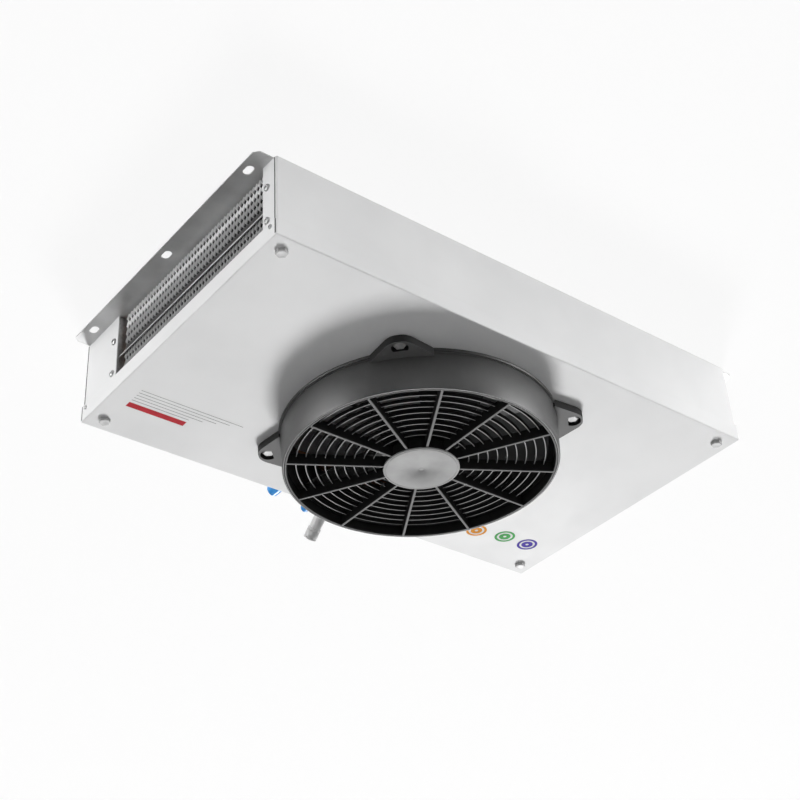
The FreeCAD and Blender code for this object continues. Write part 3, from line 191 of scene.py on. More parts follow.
class Nodes:
    """Short calls for building one node material."""

    def __init__(self, name):
        self.material = bpy.data.materials.new(name)
        self.material.use_nodes = True
        self.tree = self.material.node_tree
        self.shader = self.tree.nodes["Principled BSDF"]

    def set(self, **values):
        for label, value in values.items():
            self.shader.inputs[label.replace("_", " ")].default_value = value
        return self

    def node(self, kind, **values):
        made = self.tree.nodes.new(kind)
        for label, value in values.items():
            if label in made.inputs:
                made.inputs[label].default_value = value
            else:
                setattr(made, label, value)
        return made

    def link(self, start, end):
        self.tree.links.new(start, end)

    def place(self, stretch=(1, 1, 1)):
        """Object coordinates, stretched for grain with a direction."""
        coordinates = self.node("ShaderNodeTexCoord")
        mapping = self.node("ShaderNodeMapping")
        mapping.inputs["Scale"].default_value = stretch
        self.link(coordinates.outputs["Object"], mapping.inputs["Vector"])
        return mapping.outputs["Vector"]

    def noise(self, scale, detail=2.0, stretch=(1, 1, 1), roughness=0.5):
        texture = self.node("ShaderNodeTexNoise", Scale=scale, Detail=detail, Roughness=roughness)
        self.link(self.place(stretch), texture.inputs["Vector"])
        return texture.outputs["Fac"]

    def ramp(self, source, low, high, low_at=0.35, high_at=0.65):
        """A colour ramp between two greys or colours."""
        ramp = self.node("ShaderNodeValToRGB")
        first, last = ramp.color_ramp.elements
        first.position, last.position = low_at, high_at
        first.color, last.color = colour(low), colour(high)
        self.link(source, ramp.inputs["Fac"])
        return ramp.outputs["Color"]

    def bands(self, source, stops):
        """A ramp with a grey at each of several places."""
        ramp = self.node("ShaderNodeValToRGB")
        elements = ramp.color_ramp.elements
        for index, (place, grey) in enumerate(stops):
            stop = elements[index] if index < 2 else elements.new(place)
            stop.position, stop.color = place, colour(grey)
        self.link(source, ramp.inputs["Fac"])
        return ramp.outputs["Color"]

    def paint(self, source):
        self.link(source, self.shader.inputs["Base Color"])

    def gloss(self, source, low, high):
        spread = self.node("ShaderNodeMapRange")
        spread.inputs["To Min"].default_value = low
        spread.inputs["To Max"].default_value = high
        self.link(source, spread.inputs["Value"])
        self.link(spread.outputs["Result"], self.shader.inputs["Roughness"])

    def relief(self, source, strength, distance, edge=0.0):
        """Bump from a texture, over edges that are softened by a small radius."""
        bump = self.node("ShaderNodeBump", Strength=strength, Distance=distance)
        self.link(source, bump.inputs["Height"])
        if edge:
            soft = self.node("ShaderNodeBevel", samples=4, Radius=edge)
            self.link(soft.outputs["Normal"], bump.inputs["Normal"])
        self.link(bump.outputs["Normal"], self.shader.inputs["Normal"])


def colour(value):
    if isinstance(value, (int, float)):
        return (value, value, value, 1.0)
    return (*value, 1.0)


def painted_sheet():
    """Satin off-white coating on folded sheet, with a faint orange peel and cloudy tone."""
    made = Nodes("painted_sheet").set(Specular_IOR_Level=0.18)
    made.paint(made.ramp(made.noise(7, 3), (0.701, 0.703, 0.705), (0.75, 0.751, 0.752)))
    made.gloss(made.noise(30, 4), 0.5, 0.6)
    made.relief(made.noise(900, 2), 0.06, 0.1 * MM, edge=0.6 * MM)
    return made.material


def bare_sheet():
    """Mill-finished zinc-coated sheet: metallic, finely brushed along the case."""
    made = Nodes("bare_sheet").set(Metallic=0.35)
    made.paint(made.ramp(made.noise(26, 5), 0.56, 0.68))
    made.gloss(made.noise(60, 4, stretch=(1, 9, 1)), 0.3, 0.46)
    made.relief(made.noise(700, 3, stretch=(1, 12, 1)), 0.08, 0.05 * MM, edge=0.4 * MM)
    return made.material


def galvanised():
    """Zinc-coated steel with faint spangle."""
    made = Nodes("galvanised").set(Metallic=0.9)
    cells = made.node("ShaderNodeTexVoronoi", Scale=240)
    made.link(made.place(), cells.inputs["Vector"])
    made.paint(made.ramp(cells.outputs["Distance"], 0.34, 0.5, 0.0, 0.8))
    made.gloss(cells.outputs["Distance"], 0.32, 0.5)
    made.relief(made.noise(500, 3), 0.08, 0.05 * MM, edge=0.4 * MM)
    return made.material


def anthracite_plastic():
    """Glass-filled dark plastic with a fine eroded grain and a slight bloom."""
    made = Nodes("anthracite_plastic").set(Specular_IOR_Level=0.9)
    made.paint(made.ramp(made.noise(18, 4), 0.030, 0.043))
    made.gloss(made.noise(90, 4), 0.38, 0.48)
    made.relief(made.noise(1600, 3), 0.12, 0.06 * MM)
    return made.material


def rib_plastic(name, pale):
    """The same plastic with painted highlight: paler on faces turned down, along the ribs' rounded
    lower edges.
    """
    made = Nodes(name).set(Specular_IOR_Level=0.15)
    geometry = made.node("ShaderNodeNewGeometry")
    apart = made.node("ShaderNodeSeparateXYZ")
    made.link(geometry.outputs["Normal"], apart.inputs["Vector"])
    turned = made.node("ShaderNodeMapRange")
    turned.inputs["From Min"].default_value = -0.45
    turned.inputs["From Max"].default_value = -0.95
    made.link(apart.outputs["Z"], turned.inputs["Value"])
    # Painted highlight: faces that turn down are painted paler, standing in for light from below.
    made.paint(made.ramp(turned.outputs["Result"], 0.028, pale, 0.1, 0.95))
    made.gloss(made.noise(90, 4), 0.6, 0.7)
    made.relief(made.noise(1600, 3), 0.1, 0.05 * MM)
    return made.material


def grey_plastic():
    """Matt grey plastic of the disc."""
    made = Nodes("grey_plastic").set(Specular_IOR_Level=0.2)
    made.paint(made.ramp(made.noise(40, 4), 0.3, 0.34))
    made.gloss(made.noise(120, 3), 0.55, 0.65)
    made.relief(made.noise(1500, 3), 0.12, 0.05 * MM)
    return made.material


def fan_plastic():
    """Smooth black plastic of the blades."""
    made = Nodes("fan_plastic")
    made.paint(made.ramp(made.noise(24, 4), 0.03, 0.045))
    made.gloss(made.noise(80, 3), 0.28, 0.4)
    made.relief(made.noise(1200, 3), 0.1, 0.05 * MM)
    return made.material


def bright_zinc():
    """Bright plated fasteners."""
    made = Nodes("bright_zinc").set(Metallic=0.35)
    made.paint(made.ramp(made.noise(160, 3), 0.36, 0.48))
    made.gloss(made.noise(300, 3), 0.55, 0.7)
    made.relief(made.noise(1800, 2), 0.08, 0.03 * MM, edge=0.25 * MM)
    return made.material


def fin_aluminium():
    """Fin edges painted bright at the face, with painted shade between the plates and painted light
    and shade in bands along their height.
    """
    made = Nodes("fin_aluminium").set(Metallic=0.1)
    place = made.node("ShaderNodeSeparateXYZ")
    made.link(made.place(), place.inputs["Vector"])
    outward = made.node("ShaderNodeMath", operation="ABSOLUTE")
    made.link(place.outputs["X"], outward.inputs[0])
    # Painted shade: the colour darkens with depth behind the fins' face, where the gaps between the
    # plates fall into shade.
    depth = made.node("ShaderNodeMapRange")
    depth.inputs["From Min"].default_value = -fins_low.x - 4.2 * MM
    depth.inputs["From Max"].default_value = -fins_low.x - 1.6 * MM
    made.link(outward.outputs[0], depth.inputs["Value"])
    height = made.node("ShaderNodeMapRange")
    height.inputs["From Min"].default_value = fins_low.z
    height.inputs["From Max"].default_value = fins_high.z
    made.link(place.outputs["Z"], height.inputs["Value"])
    # Painted light and shade: bright and dark bands up the fins' height, multiplied onto the
    # painted gap shade.
    bands = made.bands(height.outputs["Result"], FIN_PAINTED_LIGHT_BANDS)
    shade = made.ramp(depth.outputs["Result"], 0.015, 1.0, 0.1, 0.95)
    mixed = made.node("ShaderNodeMix", data_type="RGBA", blend_type="MULTIPLY")
    mixed.inputs["Factor"].default_value = 1.0
    made.link(shade, mixed.inputs["A"])
    made.link(bands, mixed.inputs["B"])
    made.paint(mixed.outputs["Result"])
    made.gloss(made.noise(120, 3, stretch=(1, 1, 6)), 0.3, 0.45)
    made.relief(made.noise(600, 2), 0.1, 0.05 * MM)
    return made.material


def copper():
    """Drawn copper tube with a cloudy tarnish."""
    made = Nodes("copper").set(Metallic=1.0)
    made.paint(made.ramp(made.noise(45, 4), (0.5, 0.22, 0.12), (0.72, 0.38, 0.24)))
    made.gloss(made.noise(90, 3), 0.22, 0.4)
    made.relief(made.noise(400, 2), 0.06, 0.05 * MM)
    return made.material


def black_rubber():
    """Dull rubber with a fine grain."""
    made = Nodes("black_rubber")
    made.paint(made.ramp(made.noise(80, 3), 0.012, 0.022))
    made.gloss(made.noise(120, 3), 0.55, 0.75)
    made.relief(made.noise(900, 3), 0.2, 0.05 * MM)
    return made.material


def moulded(name, low, high, shine=0.5, rough=0.35):
    """A plain moulded or printed surface between two tones."""
    made = Nodes(name).set(Specular_IOR_Level=shine)
    made.paint(made.ramp(made.noise(60, 3), low, high))
    made.gloss(made.noise(140, 3), rough, rough + 0.15)
    made.relief(made.noise(1200, 3), 0.12, 0.05 * MM, edge=0.4 * MM)
    return made.material


def blue_cap_plastic():
    """Soft pushed-on caps: slightly see-through polyethylene."""
    made = Nodes("blue_cap_plastic").set(Subsurface_Weight=0.15, Subsurface_Scale=0.004)
    made.shader.inputs["Subsurface Radius"].default_value = (0.3, 0.5, 1.0)
    made.paint(made.ramp(made.noise(60, 3), (0.03, 0.24, 0.62), (0.05, 0.32, 0.75)))
    made.gloss(made.noise(200, 3), 0.24, 0.38)
    made.relief(made.noise(700, 3), 0.08, 0.05 * MM, edge=0.3 * MM)
    return made.material


def metal(name, low, high, rough_low, rough_high, grain=300):
    """Bare metal between two tones."""
    made = Nodes(name).set(Metallic=1.0)
    made.paint(made.ramp(made.noise(50, 4), low, high))
    made.gloss(made.noise(120, 3), rough_low, rough_high)
    made.relief(made.noise(grain, 3), 0.12, 0.05 * MM, edge=0.3 * MM)
    return made.material


SLOTS = {
    "painted_case": painted_sheet(),
    "plated_bolt": bright_zinc(),
    "galvanised_steel": galvanised(),
    "aluminium_fin": fin_aluminium(),
    "copper": copper(),
    "zinc_wire": metal("zinc_wire", 0.3, 0.36, 0.4, 0.5),
    "black_rubber": black_rubber(),
    "plated_steel": metal("plated_steel", 0.5, 0.62, 0.22, 0.36),
    "anthracite_plastic": anthracite_plastic(),
    "grey_plastic": grey_plastic(),
    "cast_aluminium": metal("cast_aluminium", 0.4, 0.52, 0.4, 0.6, 160),
    "core_steel": metal("core_steel", 0.12, 0.2, 0.35, 0.5, 900),
    "winding_copper": metal("winding_copper", (0.3, 0.1, 0.04), (0.5, 0.2, 0.09), 0.3, 0.45, 1400),
    "bearing_steel": metal("bearing_steel", 0.5, 0.6, 0.12, 0.22),
    "white_plastic": moulded("white_plastic", 0.6, 0.68),
    "black_plastic": moulded("black_plastic", 0.014, 0.024),
    "fan_black_plastic": fan_plastic(),
    "rotor_steel": moulded("rotor_steel", 0.02, 0.03),
    "blue_plastic": blue_cap_plastic(),
}
BARE_SHEET = bare_sheet()
# Near-black for the painted shade strips at the folded corners.
SEAM_SHADE = moulded("seam_shade", 0.02, 0.03)
# Painted highlight: each of these plastics is painted paler on its faces turned down, by the given
# grey.
RING_PLASTIC = rib_plastic("ring_plastic", 0.42)
RIB_PLASTIC = rib_plastic("rib_plastic", 0.17)
EAR_PLASTIC = rib_plastic("ear_plastic", 0.14)
DRAIN_PLASTIC = moulded("drain_plastic", 0.55, 0.65)


def dress_nodes():
    """Every CAD node gets its slot's material; the ceiling sheet is bare metal."""
    for entry in frame["record"]["subparts"]:
        node = frame["nodes"][entry["node"]]
        material = SLOTS[entry["material_slot"]]
        if entry["node"] == "top_panel":
            material = BARE_SHEET
        node.data.materials.clear()
        node.data.materials.append(material)


# Mesh helpers


def new_piece(name, mesh, material, body=CASE, sharp=35):
    """Puts a mesh in the scene, smooth but for its sharp edges, on a body and in a slot."""
    piece = bpy.data.objects.new(name, mesh)
    bpy.context.scene.collection.objects.link(piece)
    mesh.materials.append(material)
    mesh.shade_smooth()
    mesh.set_sharp_from_angle(angle=math.radians(sharp))
    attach(piece, body)
    return piece


def mesh_from(name, shape):
    mesh = bpy.data.meshes.new(name)
    shape.normal_update()
    shape.to_mesh(mesh)
    shape.free()
    return mesh


def soften(piece, width, segments=2, angle=30):
    """Rounds the piece's sharp edges."""
    bevel = piece.modifiers.new("soft_edges", "BEVEL")
    bevel.width = width
    bevel.segments = segments
    bevel.limit_method = "ANGLE"
    bevel.angle_limit = math.radians(angle)
    bevel.harden_normals = True
    return piece


def add_turned(shape, profile, steps, place=Matrix.Identity(4)):
    """Adds a closed (radius, height) outline turned about the Z axis."""
    rows = []
    for step in range(steps):
        angle = 2 * math.pi * step / steps
        run, climb = math.cos(angle), math.sin(angle)
        rows.append([shape.verts.new(place @ Vector((r * run, r * climb, z))) for r, z in profile])
    count = len(profile)
    for step in range(steps):
        here, there = rows[step], rows[(step + 1) % steps]
        for index in range(count):
            after = (index + 1) % count
            shape.faces.new((here[index], there[index], there[after], here[after]))


def rounded_strip(low, high, bottom, top, radius, steps=3):
    """Outline of a thin upright strip whose lower corners are round."""
    points = [(high, top), (low, top)]
    for step in range(steps + 1):
        angle = math.pi + math.pi / 2 * step / steps
        centre = (low + radius, bottom + radius)
        points.append((centre[0] + radius * math.cos(angle), centre[1] + radius * math.sin(angle)))
    for step in range(steps + 1):
        angle = 1.5 * math.pi + math.pi / 2 * step / steps
        centre = (high - radius, bottom + radius)
        points.append((centre[0] + radius * math.cos(angle), centre[1] + radius * math.sin(angle)))
    return points[::-1]


def add_bar(shape, outline, start, end, turn):
    """Adds an (across, height) outline stretched along X from start to end, then turned about Z."""
    spin = Matrix.Rotation(turn, 4, "Z")
    ends = []
    for x in (start, end):
        ends.append([shape.verts.new(spin @ Vector((x, y, z))) for y, z in outline])
    count = len(outline)
    for index in range(count):
        after = (index + 1) % count
        shape.faces.new((ends[0][index], ends[0][after], ends[1][after], ends[1][index]))
    shape.faces.new(ends[0][::-1])
    shape.faces.new(ends[1])


# Guard and shroud


def make_guard():
    """Thin rings and deep spokes with rounded lower edges, inside a rim."""
    rings = bmesh.new()
    pitch = (DUCT_RADIUS - HUB_CAP_RADIUS) / (RING_COUNT + 1)
    for step in range(1, RING_COUNT + 1):
        middle = HUB_CAP_RADIUS + step * pitch
        low, high = middle - RING_WALL / 2, middle + RING_WALL / 2
        bottom = GUARD_TOP - RING_HEIGHT
        add_turned(rings, rounded_strip(low, high, bottom, GUARD_TOP, 0.6 * MM), RING_SIDES)
    bmesh.ops.recalc_face_normals(rings, faces=rings.faces)
    new_piece("guard_rings", mesh_from("guard_rings", rings), RING_PLASTIC)

    grid = bmesh.new()
    hub_low = GUARD_HUB_RADIUS - GUARD_HUB_WALL
    hub_wall = rounded_strip(hub_low, GUARD_HUB_RADIUS, FAN_RIM, GUARD_TOP, 0.5 * MM)
    add_turned(grid, hub_wall, DISC_SIDES)
    foot = GUARD_TOP - GUARD_PLATE
    edge, hole = hub_low + MM, GUARD_PLATE_HOLE
    plate = [(edge, foot), (edge, GUARD_TOP), (hole, GUARD_TOP), (hole, foot)]
    add_turned(grid, plate[::-1], PLATE_SIDES)
    outline = rounded_strip(-SPOKE_HALF, SPOKE_HALF, FAN_RIM, GUARD_TOP, 0.9 * MM)
    for step in range(SPOKE_COUNT):
        turn = 2 * math.pi * step / SPOKE_COUNT
        add_bar(grid, outline, GUARD_HUB_RADIUS - MM, DUCT_RADIUS + 0.5 * MM, turn)
    bmesh.ops.recalc_face_normals(grid, faces=grid.faces)
    piece = new_piece("guard", mesh_from("guard", grid), RIB_PLASTIC)
    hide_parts("guard_grille")

    rim = bmesh.new()
    rim_wall = rounded_strip(DUCT_RADIUS - 0.4 * MM, GUARD_RADIUS, FAN_RIM, GUARD_TOP, 0.7 * MM)
    add_turned(rim, rim_wall, RIM_SIDES)
    bmesh.ops.recalc_face_normals(rim, faces=rim.faces)
    new_piece("guard_rim", mesh_from("guard_rim", rim), EAR_PLASTIC)


def make_shroud():
    """The drum round the fan: duct, seat for the guard, outer wall, foot bead and four ears."""
    shape = bmesh.new()
    seat = PAN_FACE
    step_level = GUARD_TOP + 0.6 * MM
    seat_radius = GUARD_RADIUS + 0.4 * MM
    rim = seat_radius + SHROUD_WALL
    profile = [
        (DUCT_RADIUS, shroud_high.z),
        (DUCT_RADIUS, step_level),
        (seat_radius, step_level),
        (seat_radius, FAN_RIM + 0.4 * MM),
        (seat_radius + 0.5 * MM, FAN_RIM),
        (rim - 1.2 * MM, FAN_RIM),
        (rim - 0.4 * MM, FAN_RIM + 0.4 * MM),
        (rim, FAN_RIM + 1.2 * MM),
        (SHROUD_FOOT - 2.4 * MM, seat - 4.6 * MM),
        (SHROUD_FOOT - 1.7 * MM, seat - 3.8 * MM),
        (SHROUD_FOOT - 0.5 * MM, seat - 3.2 * MM),
        (SHROUD_FOOT, seat - 2.4 * MM),
        (SHROUD_FOOT, seat),
        (DUCT_RADIUS + SHROUD_WALL, seat),
        (DUCT_RADIUS + SHROUD_WALL, shroud_high.z),
    ]
    add_turned(shape, profile[::-1], DRUM_SIDES)
    bmesh.ops.recalc_face_normals(shape, faces=shape.faces)
    mesh = mesh_from("shroud_ring", shape)
    ring = new_piece("shroud_ring", mesh, SLOTS["anthracite_plastic"])
    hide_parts("fan_shroud")
    bead = bmesh.new()
    low = seat - 5.2 * MM
    inside, outside = SHROUD_FOOT - 3 * MM, SHROUD_FOOT - 0.4 * MM
    line = [(inside, low), (outside, low), (outside, low + MM), (inside, low + MM)]
    add_turned(bead, line, DRUM_SIDES)
    bmesh.ops.recalc_face_normals(bead, faces=bead.faces)
    new_piece("shroud_bead", mesh_from("shroud_bead", bead), RIB_PLASTIC)
    make_ears()


def rounded(points, radius, steps=4):
    """The outline with each of its corners turned into a short arc."""
    made = []
    count = len(points)
    for index in range(count):
        before, corner, after = (Vector(points[(index + shift) % count]) for shift in (-1, 0, 1))
        into, out = (before - corner), (after - corner)
        reach = min(radius, into.length * 0.45, out.length * 0.45)
        start, end = corner + into.normalized() * reach, corner + out.normalized() * reach
        for step in range(steps + 1):
            share = step / steps
            made.append(start.lerp(corner, share).lerp(corner.lerp(end, share), share))
    return made


def ear_outline(half, tip_half, tip, root):
    """Half outline widths at the drum and at the tip, with a slight waist between them."""
    waist = root + (tip - root) * 0.5
    waist_half = tip_half + (half - tip_half) * 0.42
    upper = [(root, half), (waist, waist_half), (tip - 5 * MM, tip_half), (tip, tip_half * 0.45)]
    return upper + [(x, -y) for x, y in reversed(upper)]


def make_ears():
    """Wide lugs that reach out from the drum, each with a well for its bolt."""
    root = DUCT_RADIUS + SHROUD_WALL + 0.3 * MM
    outer = rounded(ear_outline(EAR_HALF, EAR_TIP_HALF, EAR_TIP, root), 5 * MM)
    inner = []
    for x, y in outer:
        away = Vector((x - EAR_RADIUS, y)).normalized() * EAR_WELL
        inner.append((EAR_RADIUS + away.x, away.y))
    shape = bmesh.new()
    top, foot = PAN_FACE, PAN_FACE - EAR_HEIGHT
    well = PAN_FACE - EAR_FLOOR
    for angle in EAR_ANGLES:
        spin = Matrix.Rotation(math.radians(angle), 4, "Z")
        loops = []
        for points, level in ((outer, top), (outer, foot), (inner, foot), (inner, well)):
            loops.append([shape.verts.new(spin @ Vector((x, y, level))) for x, y in points])
        count = len(outer)
        for before, after in zip(loops, loops[1:]):
            for index in range(count):
                follow = (index + 1) % count
                shape.faces.new((before[index], after[index], after[follow], before[follow]))
        shape.faces.new(loops[-1])
        shape.faces.new(loops[0][::-1])
    bmesh.ops.recalc_face_normals(shape, faces=shape.faces)
    mesh = mesh_from("shroud_ears", shape)
    ears = new_piece("shroud_ears", mesh, EAR_PLASTIC)
    soften(ears, 0.5 * MM)


def make_hub_cap():
    """The pale disc in the middle, with a soft edge, a fine ring groove and a small centre dome."""
    shape = bmesh.new()
    face = cap_low.z
    radius = HUB_CAP_RADIUS
    groove = radius - 3 * MM
    middle = 0.02 * MM
    profile = [
        (middle, face + 0.4 * MM),
        (2.2 * MM, face + 0.5 * MM),
        (3.2 * MM, face + 0.9 * MM),
        (3.9 * MM, face + 0.9 * MM),
        (4.6 * MM, face + 0.2 * MM),
        (groove - 0.5 * MM, face + 0.2 * MM),
        (groove - 0.25 * MM, face + 0.75 * MM),
        (groove + 0.25 * MM, face + 0.75 * MM),
        (groove + 0.5 * MM, face + 0.2 * MM),
        (radius - 0.8 * MM, face + 0.2 * MM),
        (radius - 0.25 * MM, face + 0.45 * MM),
        (radius, face + MM),
        (radius, FAN_RIM),
        (middle, FAN_RIM),
    ]
    add_turned(shape, profile, DISC_SIDES)
    bmesh.ops.recalc_face_normals(shape, faces=shape.faces)
    mesh = mesh_from("hub_disc", shape)
    piece = new_piece("hub_disc", mesh, SLOTS["grey_plastic"], sharp=50)
    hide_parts("hub_cap")


# Coils


def add_fin(shape, low, high, outside, depth, y_middle):
    """Adds one plate: two folds for each row of tubes, and fine ripples from face to back."""
    across, tall = 8, 65
    ripples = 6
    grid = []
    for i in range(across):
        share = i / (across - 1)
        x = outside + depth * share
        line = []
        for j in range(tall):
            z = low.z + (high.z - low.z) * j / (tall - 1)
            phase = (high.z - z) / TUBE_ROW * 2 % 1.0
            swing = FOLD_SWING * (1 - 4 * abs(phase - 0.5))
            swing += RIPPLE * math.sin(2 * math.pi * share * ripples)
            line.append(shape.verts.new((x, y_middle + swing, z)))
        grid.append(line)
    for i in range(across - 1):
        for j in range(tall - 1):
            shape.faces.new((grid[i][j], grid[i + 1][j], grid[i + 1][j + 1], grid[i][j + 1]))


def make_fins(side):
    """Thin folded plates across the tubes, spaced as they look in the photograph."""
    low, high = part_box(side + "_fin_pack")
    count = int((high.y - low.y) / FIN_PITCH)
    start = (low.y + high.y - (count - 1) * FIN_PITCH) / 2
    shape = bmesh.new()
    outside = low.x if side == "left" else high.x
    inward = 1 if side == "left" else -1
    for index in range(count):
        add_fin(shape, low, high, outside, inward * (high.x - low.x), start + index * FIN_PITCH)
    name = side + "_fins"
    piece = new_piece(name, mesh_from(name, shape), SLOTS["aluminium_fin"])
    thickness = piece.modifiers.new("sheet", "SOLIDIFY")
    thickness.thickness = FIN_WALL
    thickness.offset = 0
    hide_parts(side + "_fin_pack")


# Fasteners


def add_bolt(shape, x, y, seat, turn, washer_wall):
    """A hexagon head with chamfered corners, hanging under its seat or under a washer."""
    place = Matrix.Translation((x, y, seat))
    if washer_wall:
        break_edge = 0.2 * MM
        washer = [
            (BOLT_SHANK, -washer_wall),
            (WASHER_RADIUS - break_edge, -washer_wall),
            (WASHER_RADIUS, break_edge - washer_wall),
            (WASHER_RADIUS, 0),
            (BOLT_SHANK, 0),
        ]
        add_turned(shape, washer, WASHER_SIDES, place)
    corner = BOLT_FLATS / 2 / math.cos(math.pi / 6)
    levels = [
        (-washer_wall, corner),
        (-3.9 * MM, corner),
        (-4.6 * MM, 0.45 * BOLT_FLATS),
        (-4.4 * MM, 0.36 * BOLT_FLATS),
    ]
    rows = []
    for level, radius in levels:
        ring = []
        for step in range(6):
            angle = turn + math.pi / 3 * step
            point = Vector((radius * math.cos(angle), radius * math.sin(angle), level))
            ring.append(shape.verts.new(place @ point))
        rows.append(ring)
    for before, after in zip(rows, rows[1:]):
        for index in range(6):
            follow = (index + 1) % 6
            shape.faces.new((before[index], after[index], after[follow], before[follow]))
    shape.faces.new(rows[-1])


def make_bolts():
    """The pan's corner bolts, and the ear bolts with their washers in the wells."""
    half_x = pan_high.x - CORNER_INSET
    half_y = pan_high.y - CORNER_INSET
    ears = [math.radians(angle) for angle in EAR_ANGLES]
    ear_seat = PAN_FACE - EAR_FLOOR
    groups = {
        "pan_corner_bolts": [(x * half_x, y * half_y, PAN_FACE) for x in (-1, 1) for y in (-1, 1)],
        "ear_bolts": [(EAR_RADIUS * math.cos(a), EAR_RADIUS * math.sin(a), ear_seat) for a in ears],
    }
    washers = {"pan_corner_bolts": 0.0, "ear_bolts": WASHER_WALL}
    for node, places in groups.items():
        shape = bmesh.new()
        for index, (x, y, seat) in enumerate(places):
            add_bolt(shape, x, y, seat, 0.4 + index, washers[node])
        bmesh.ops.recalc_face_normals(shape, faces=shape.faces)
        name = node + "_heads"
        piece = new_piece(name, mesh_from(name, shape), SLOTS["plated_bolt"])
        soften(piece, 0.25 * MM)
        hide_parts(node)


def add_screw(shape, place, radius, height):
    """A domed head with a cross recess, made of rings; Z points away from the seat."""
    recess = radius * 0.52
    blade = radius * 0.16
    rows = []
    for ring_radius, level in (
        (radius, 0),
        (radius, height * 0.35),
        (radius * 0.93, height * 0.66),
        (radius * 0.74, height * 0.9),
        (radius * 0.56, height),
        (radius * 0.4, height),
        (radius * 0.2, height),
    ):
        ring = []
        for step in range(SCREW_SIDES):
            angle = 2 * math.pi * step / SCREW_SIDES
            x, y = ring_radius * math.cos(angle), ring_radius * math.sin(angle)
            in_cross = min(abs(x), abs(y)) < blade and max(abs(x), abs(y)) < recess
            depth = height * 0.55 if in_cross else 0
            ring.append(shape.verts.new(place @ Vector((x, y, level - depth))))
        rows.append(ring)
    for before, after in zip(rows, rows[1:]):
        for index in range(SCREW_SIDES):
            follow = (index + 1) % SCREW_SIDES
            shape.faces.new((before[index], before[follow], after[follow], after[index]))
    shape.faces.new(rows[-1])
    shape.faces.new(rows[0][::-1])


def make_screws():
    """Domed heads on the end returns and, smaller, on the pan's end lips."""
    ends = ((-1, Matrix.Rotation(-math.pi / 2, 4, "Y")), (1, Matrix.Rotation(math.pi / 2, 4, "Y")))
    lip_line = SIDE_FACE - LIP_SCREW_INSET
    groups = {
        "case_screws": [(END_FACE, y, z) for y in SCREW_LINES for z in SCREW_LEVELS],
        "lip_screws": [(pan_high.x, y, LIP_SCREW_LEVEL) for y in (-lip_line, lip_line)],
    }
    head_sizes = {"case_screws": CASE_SCREW_HEAD, "lip_screws": LIP_SCREW_HEAD}
    for node, places in groups.items():
        shape = bmesh.new()
        for side, turn in ends:
            for x, y, z in places:
                add_screw(shape, Matrix.Translation((side * x, y, z)) @ turn, *head_sizes[node])
        bmesh.ops.recalc_face_normals(shape, faces=shape.faces)
        name = node + "_heads"
        piece = new_piece(name, mesh_from(name, shape), SLOTS["plated_steel"])
        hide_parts(node)


# Painted shade strips at the corners, stickers and stripes


def add_patch(shape, low, high):
    """A thin block between two corners."""
    corners = ((low[0], low[1]), (high[0], low[1]), (high[0], high[1]), (low[0], high[1]))
    foot = [shape.verts.new((x, y, low[2])) for x, y in corners]
    top = [shape.verts.new((x, y, high[2])) for x, y in corners]
    shape.faces.new(foot[::-1])
    shape.faces.new(top)
    for index in range(4):
        follow = (index + 1) % 4
        shape.faces.new((foot[index], foot[follow], top[follow], top[index]))


def make_corner_shade_strips():
    """Dark strips beside the folded corners of the walls and of the pan's lips: painted shade of
    the shadowed gap line at each of these corners.
    """
    shape = bmesh.new()
    line = 1.9 * MM
    proud = 0.06 * MM
    joints = [
        (END_FACE, SIDE_FACE - 4.2 * MM, PAN_FACE + PAN_LIP, -1.5 * MM),
        (pan_high.x, pan_high.y - 3.2 * MM, PAN_FACE + 2 * MM, PAN_FACE + PAN_LIP - 0.5 * MM),
    ]
    for x, y, bottom, top in joints:
        for x_side in (-1, 1):
            for y_side in (-1, 1):
                across = sorted((x_side * (x - 0.3 * MM), x_side * (x + proud)))
                along = sorted((y_side * y, y_side * (y + line)))
                add_patch(shape, (across[0], along[0], bottom), (across[1], along[1], top))
    # Painted shade: near-black strips laid just proud of the sheet where the corner gap falls into
    # shadow.
    name = "corner_shade_strips"
    new_piece(name, mesh_from(name, shape), SEAM_SHADE)


def flat_ring(outer, inner, proud):
    """Outline of a thin ring on the pan's face."""
    face = PAN_FACE - proud
    return [(outer, PAN_FACE), (outer, face), (inner, face), (inner, PAN_FACE)]


def make_stickers():
    """Plain round stickers: a coloured ring and a coloured middle on white, without any sign."""
    white = moulded("sticker_white", 0.72, 0.78, PRINT_SHINE, PRINT_ROUGH)
    radius = STICKER_RADIUS
    for name, place, tone in STICKERS:
        shade = tuple(0.85 * part for part in tone)
        strong = moulded(name + "_print", shade, tone, PRINT_SHINE, PRINT_ROUGH)
        spot = Matrix.Translation((place[0] * MM, place[1] * MM, 0))
        disc = bmesh.new()
        for outer, inner in ((radius, radius * 0.76), (radius * 0.56, radius * 0.16)):
            add_turned(disc, flat_ring(outer, inner, 0.12 * MM), STICKER_SIDES, spot)
        bmesh.ops.recalc_face_normals(disc, faces=disc.faces)
        new_piece(name, mesh_from(name, disc), strong)
        back = bmesh.new()
        add_turned(back, flat_ring(radius * 0.98, 0.05 * MM, 0.06 * MM), STICKER_SIDES, spot)
        bmesh.ops.recalc_face_normals(back, faces=back.faces)
        new_piece(name + "_paper", mesh_from(name + "_paper", back), white)


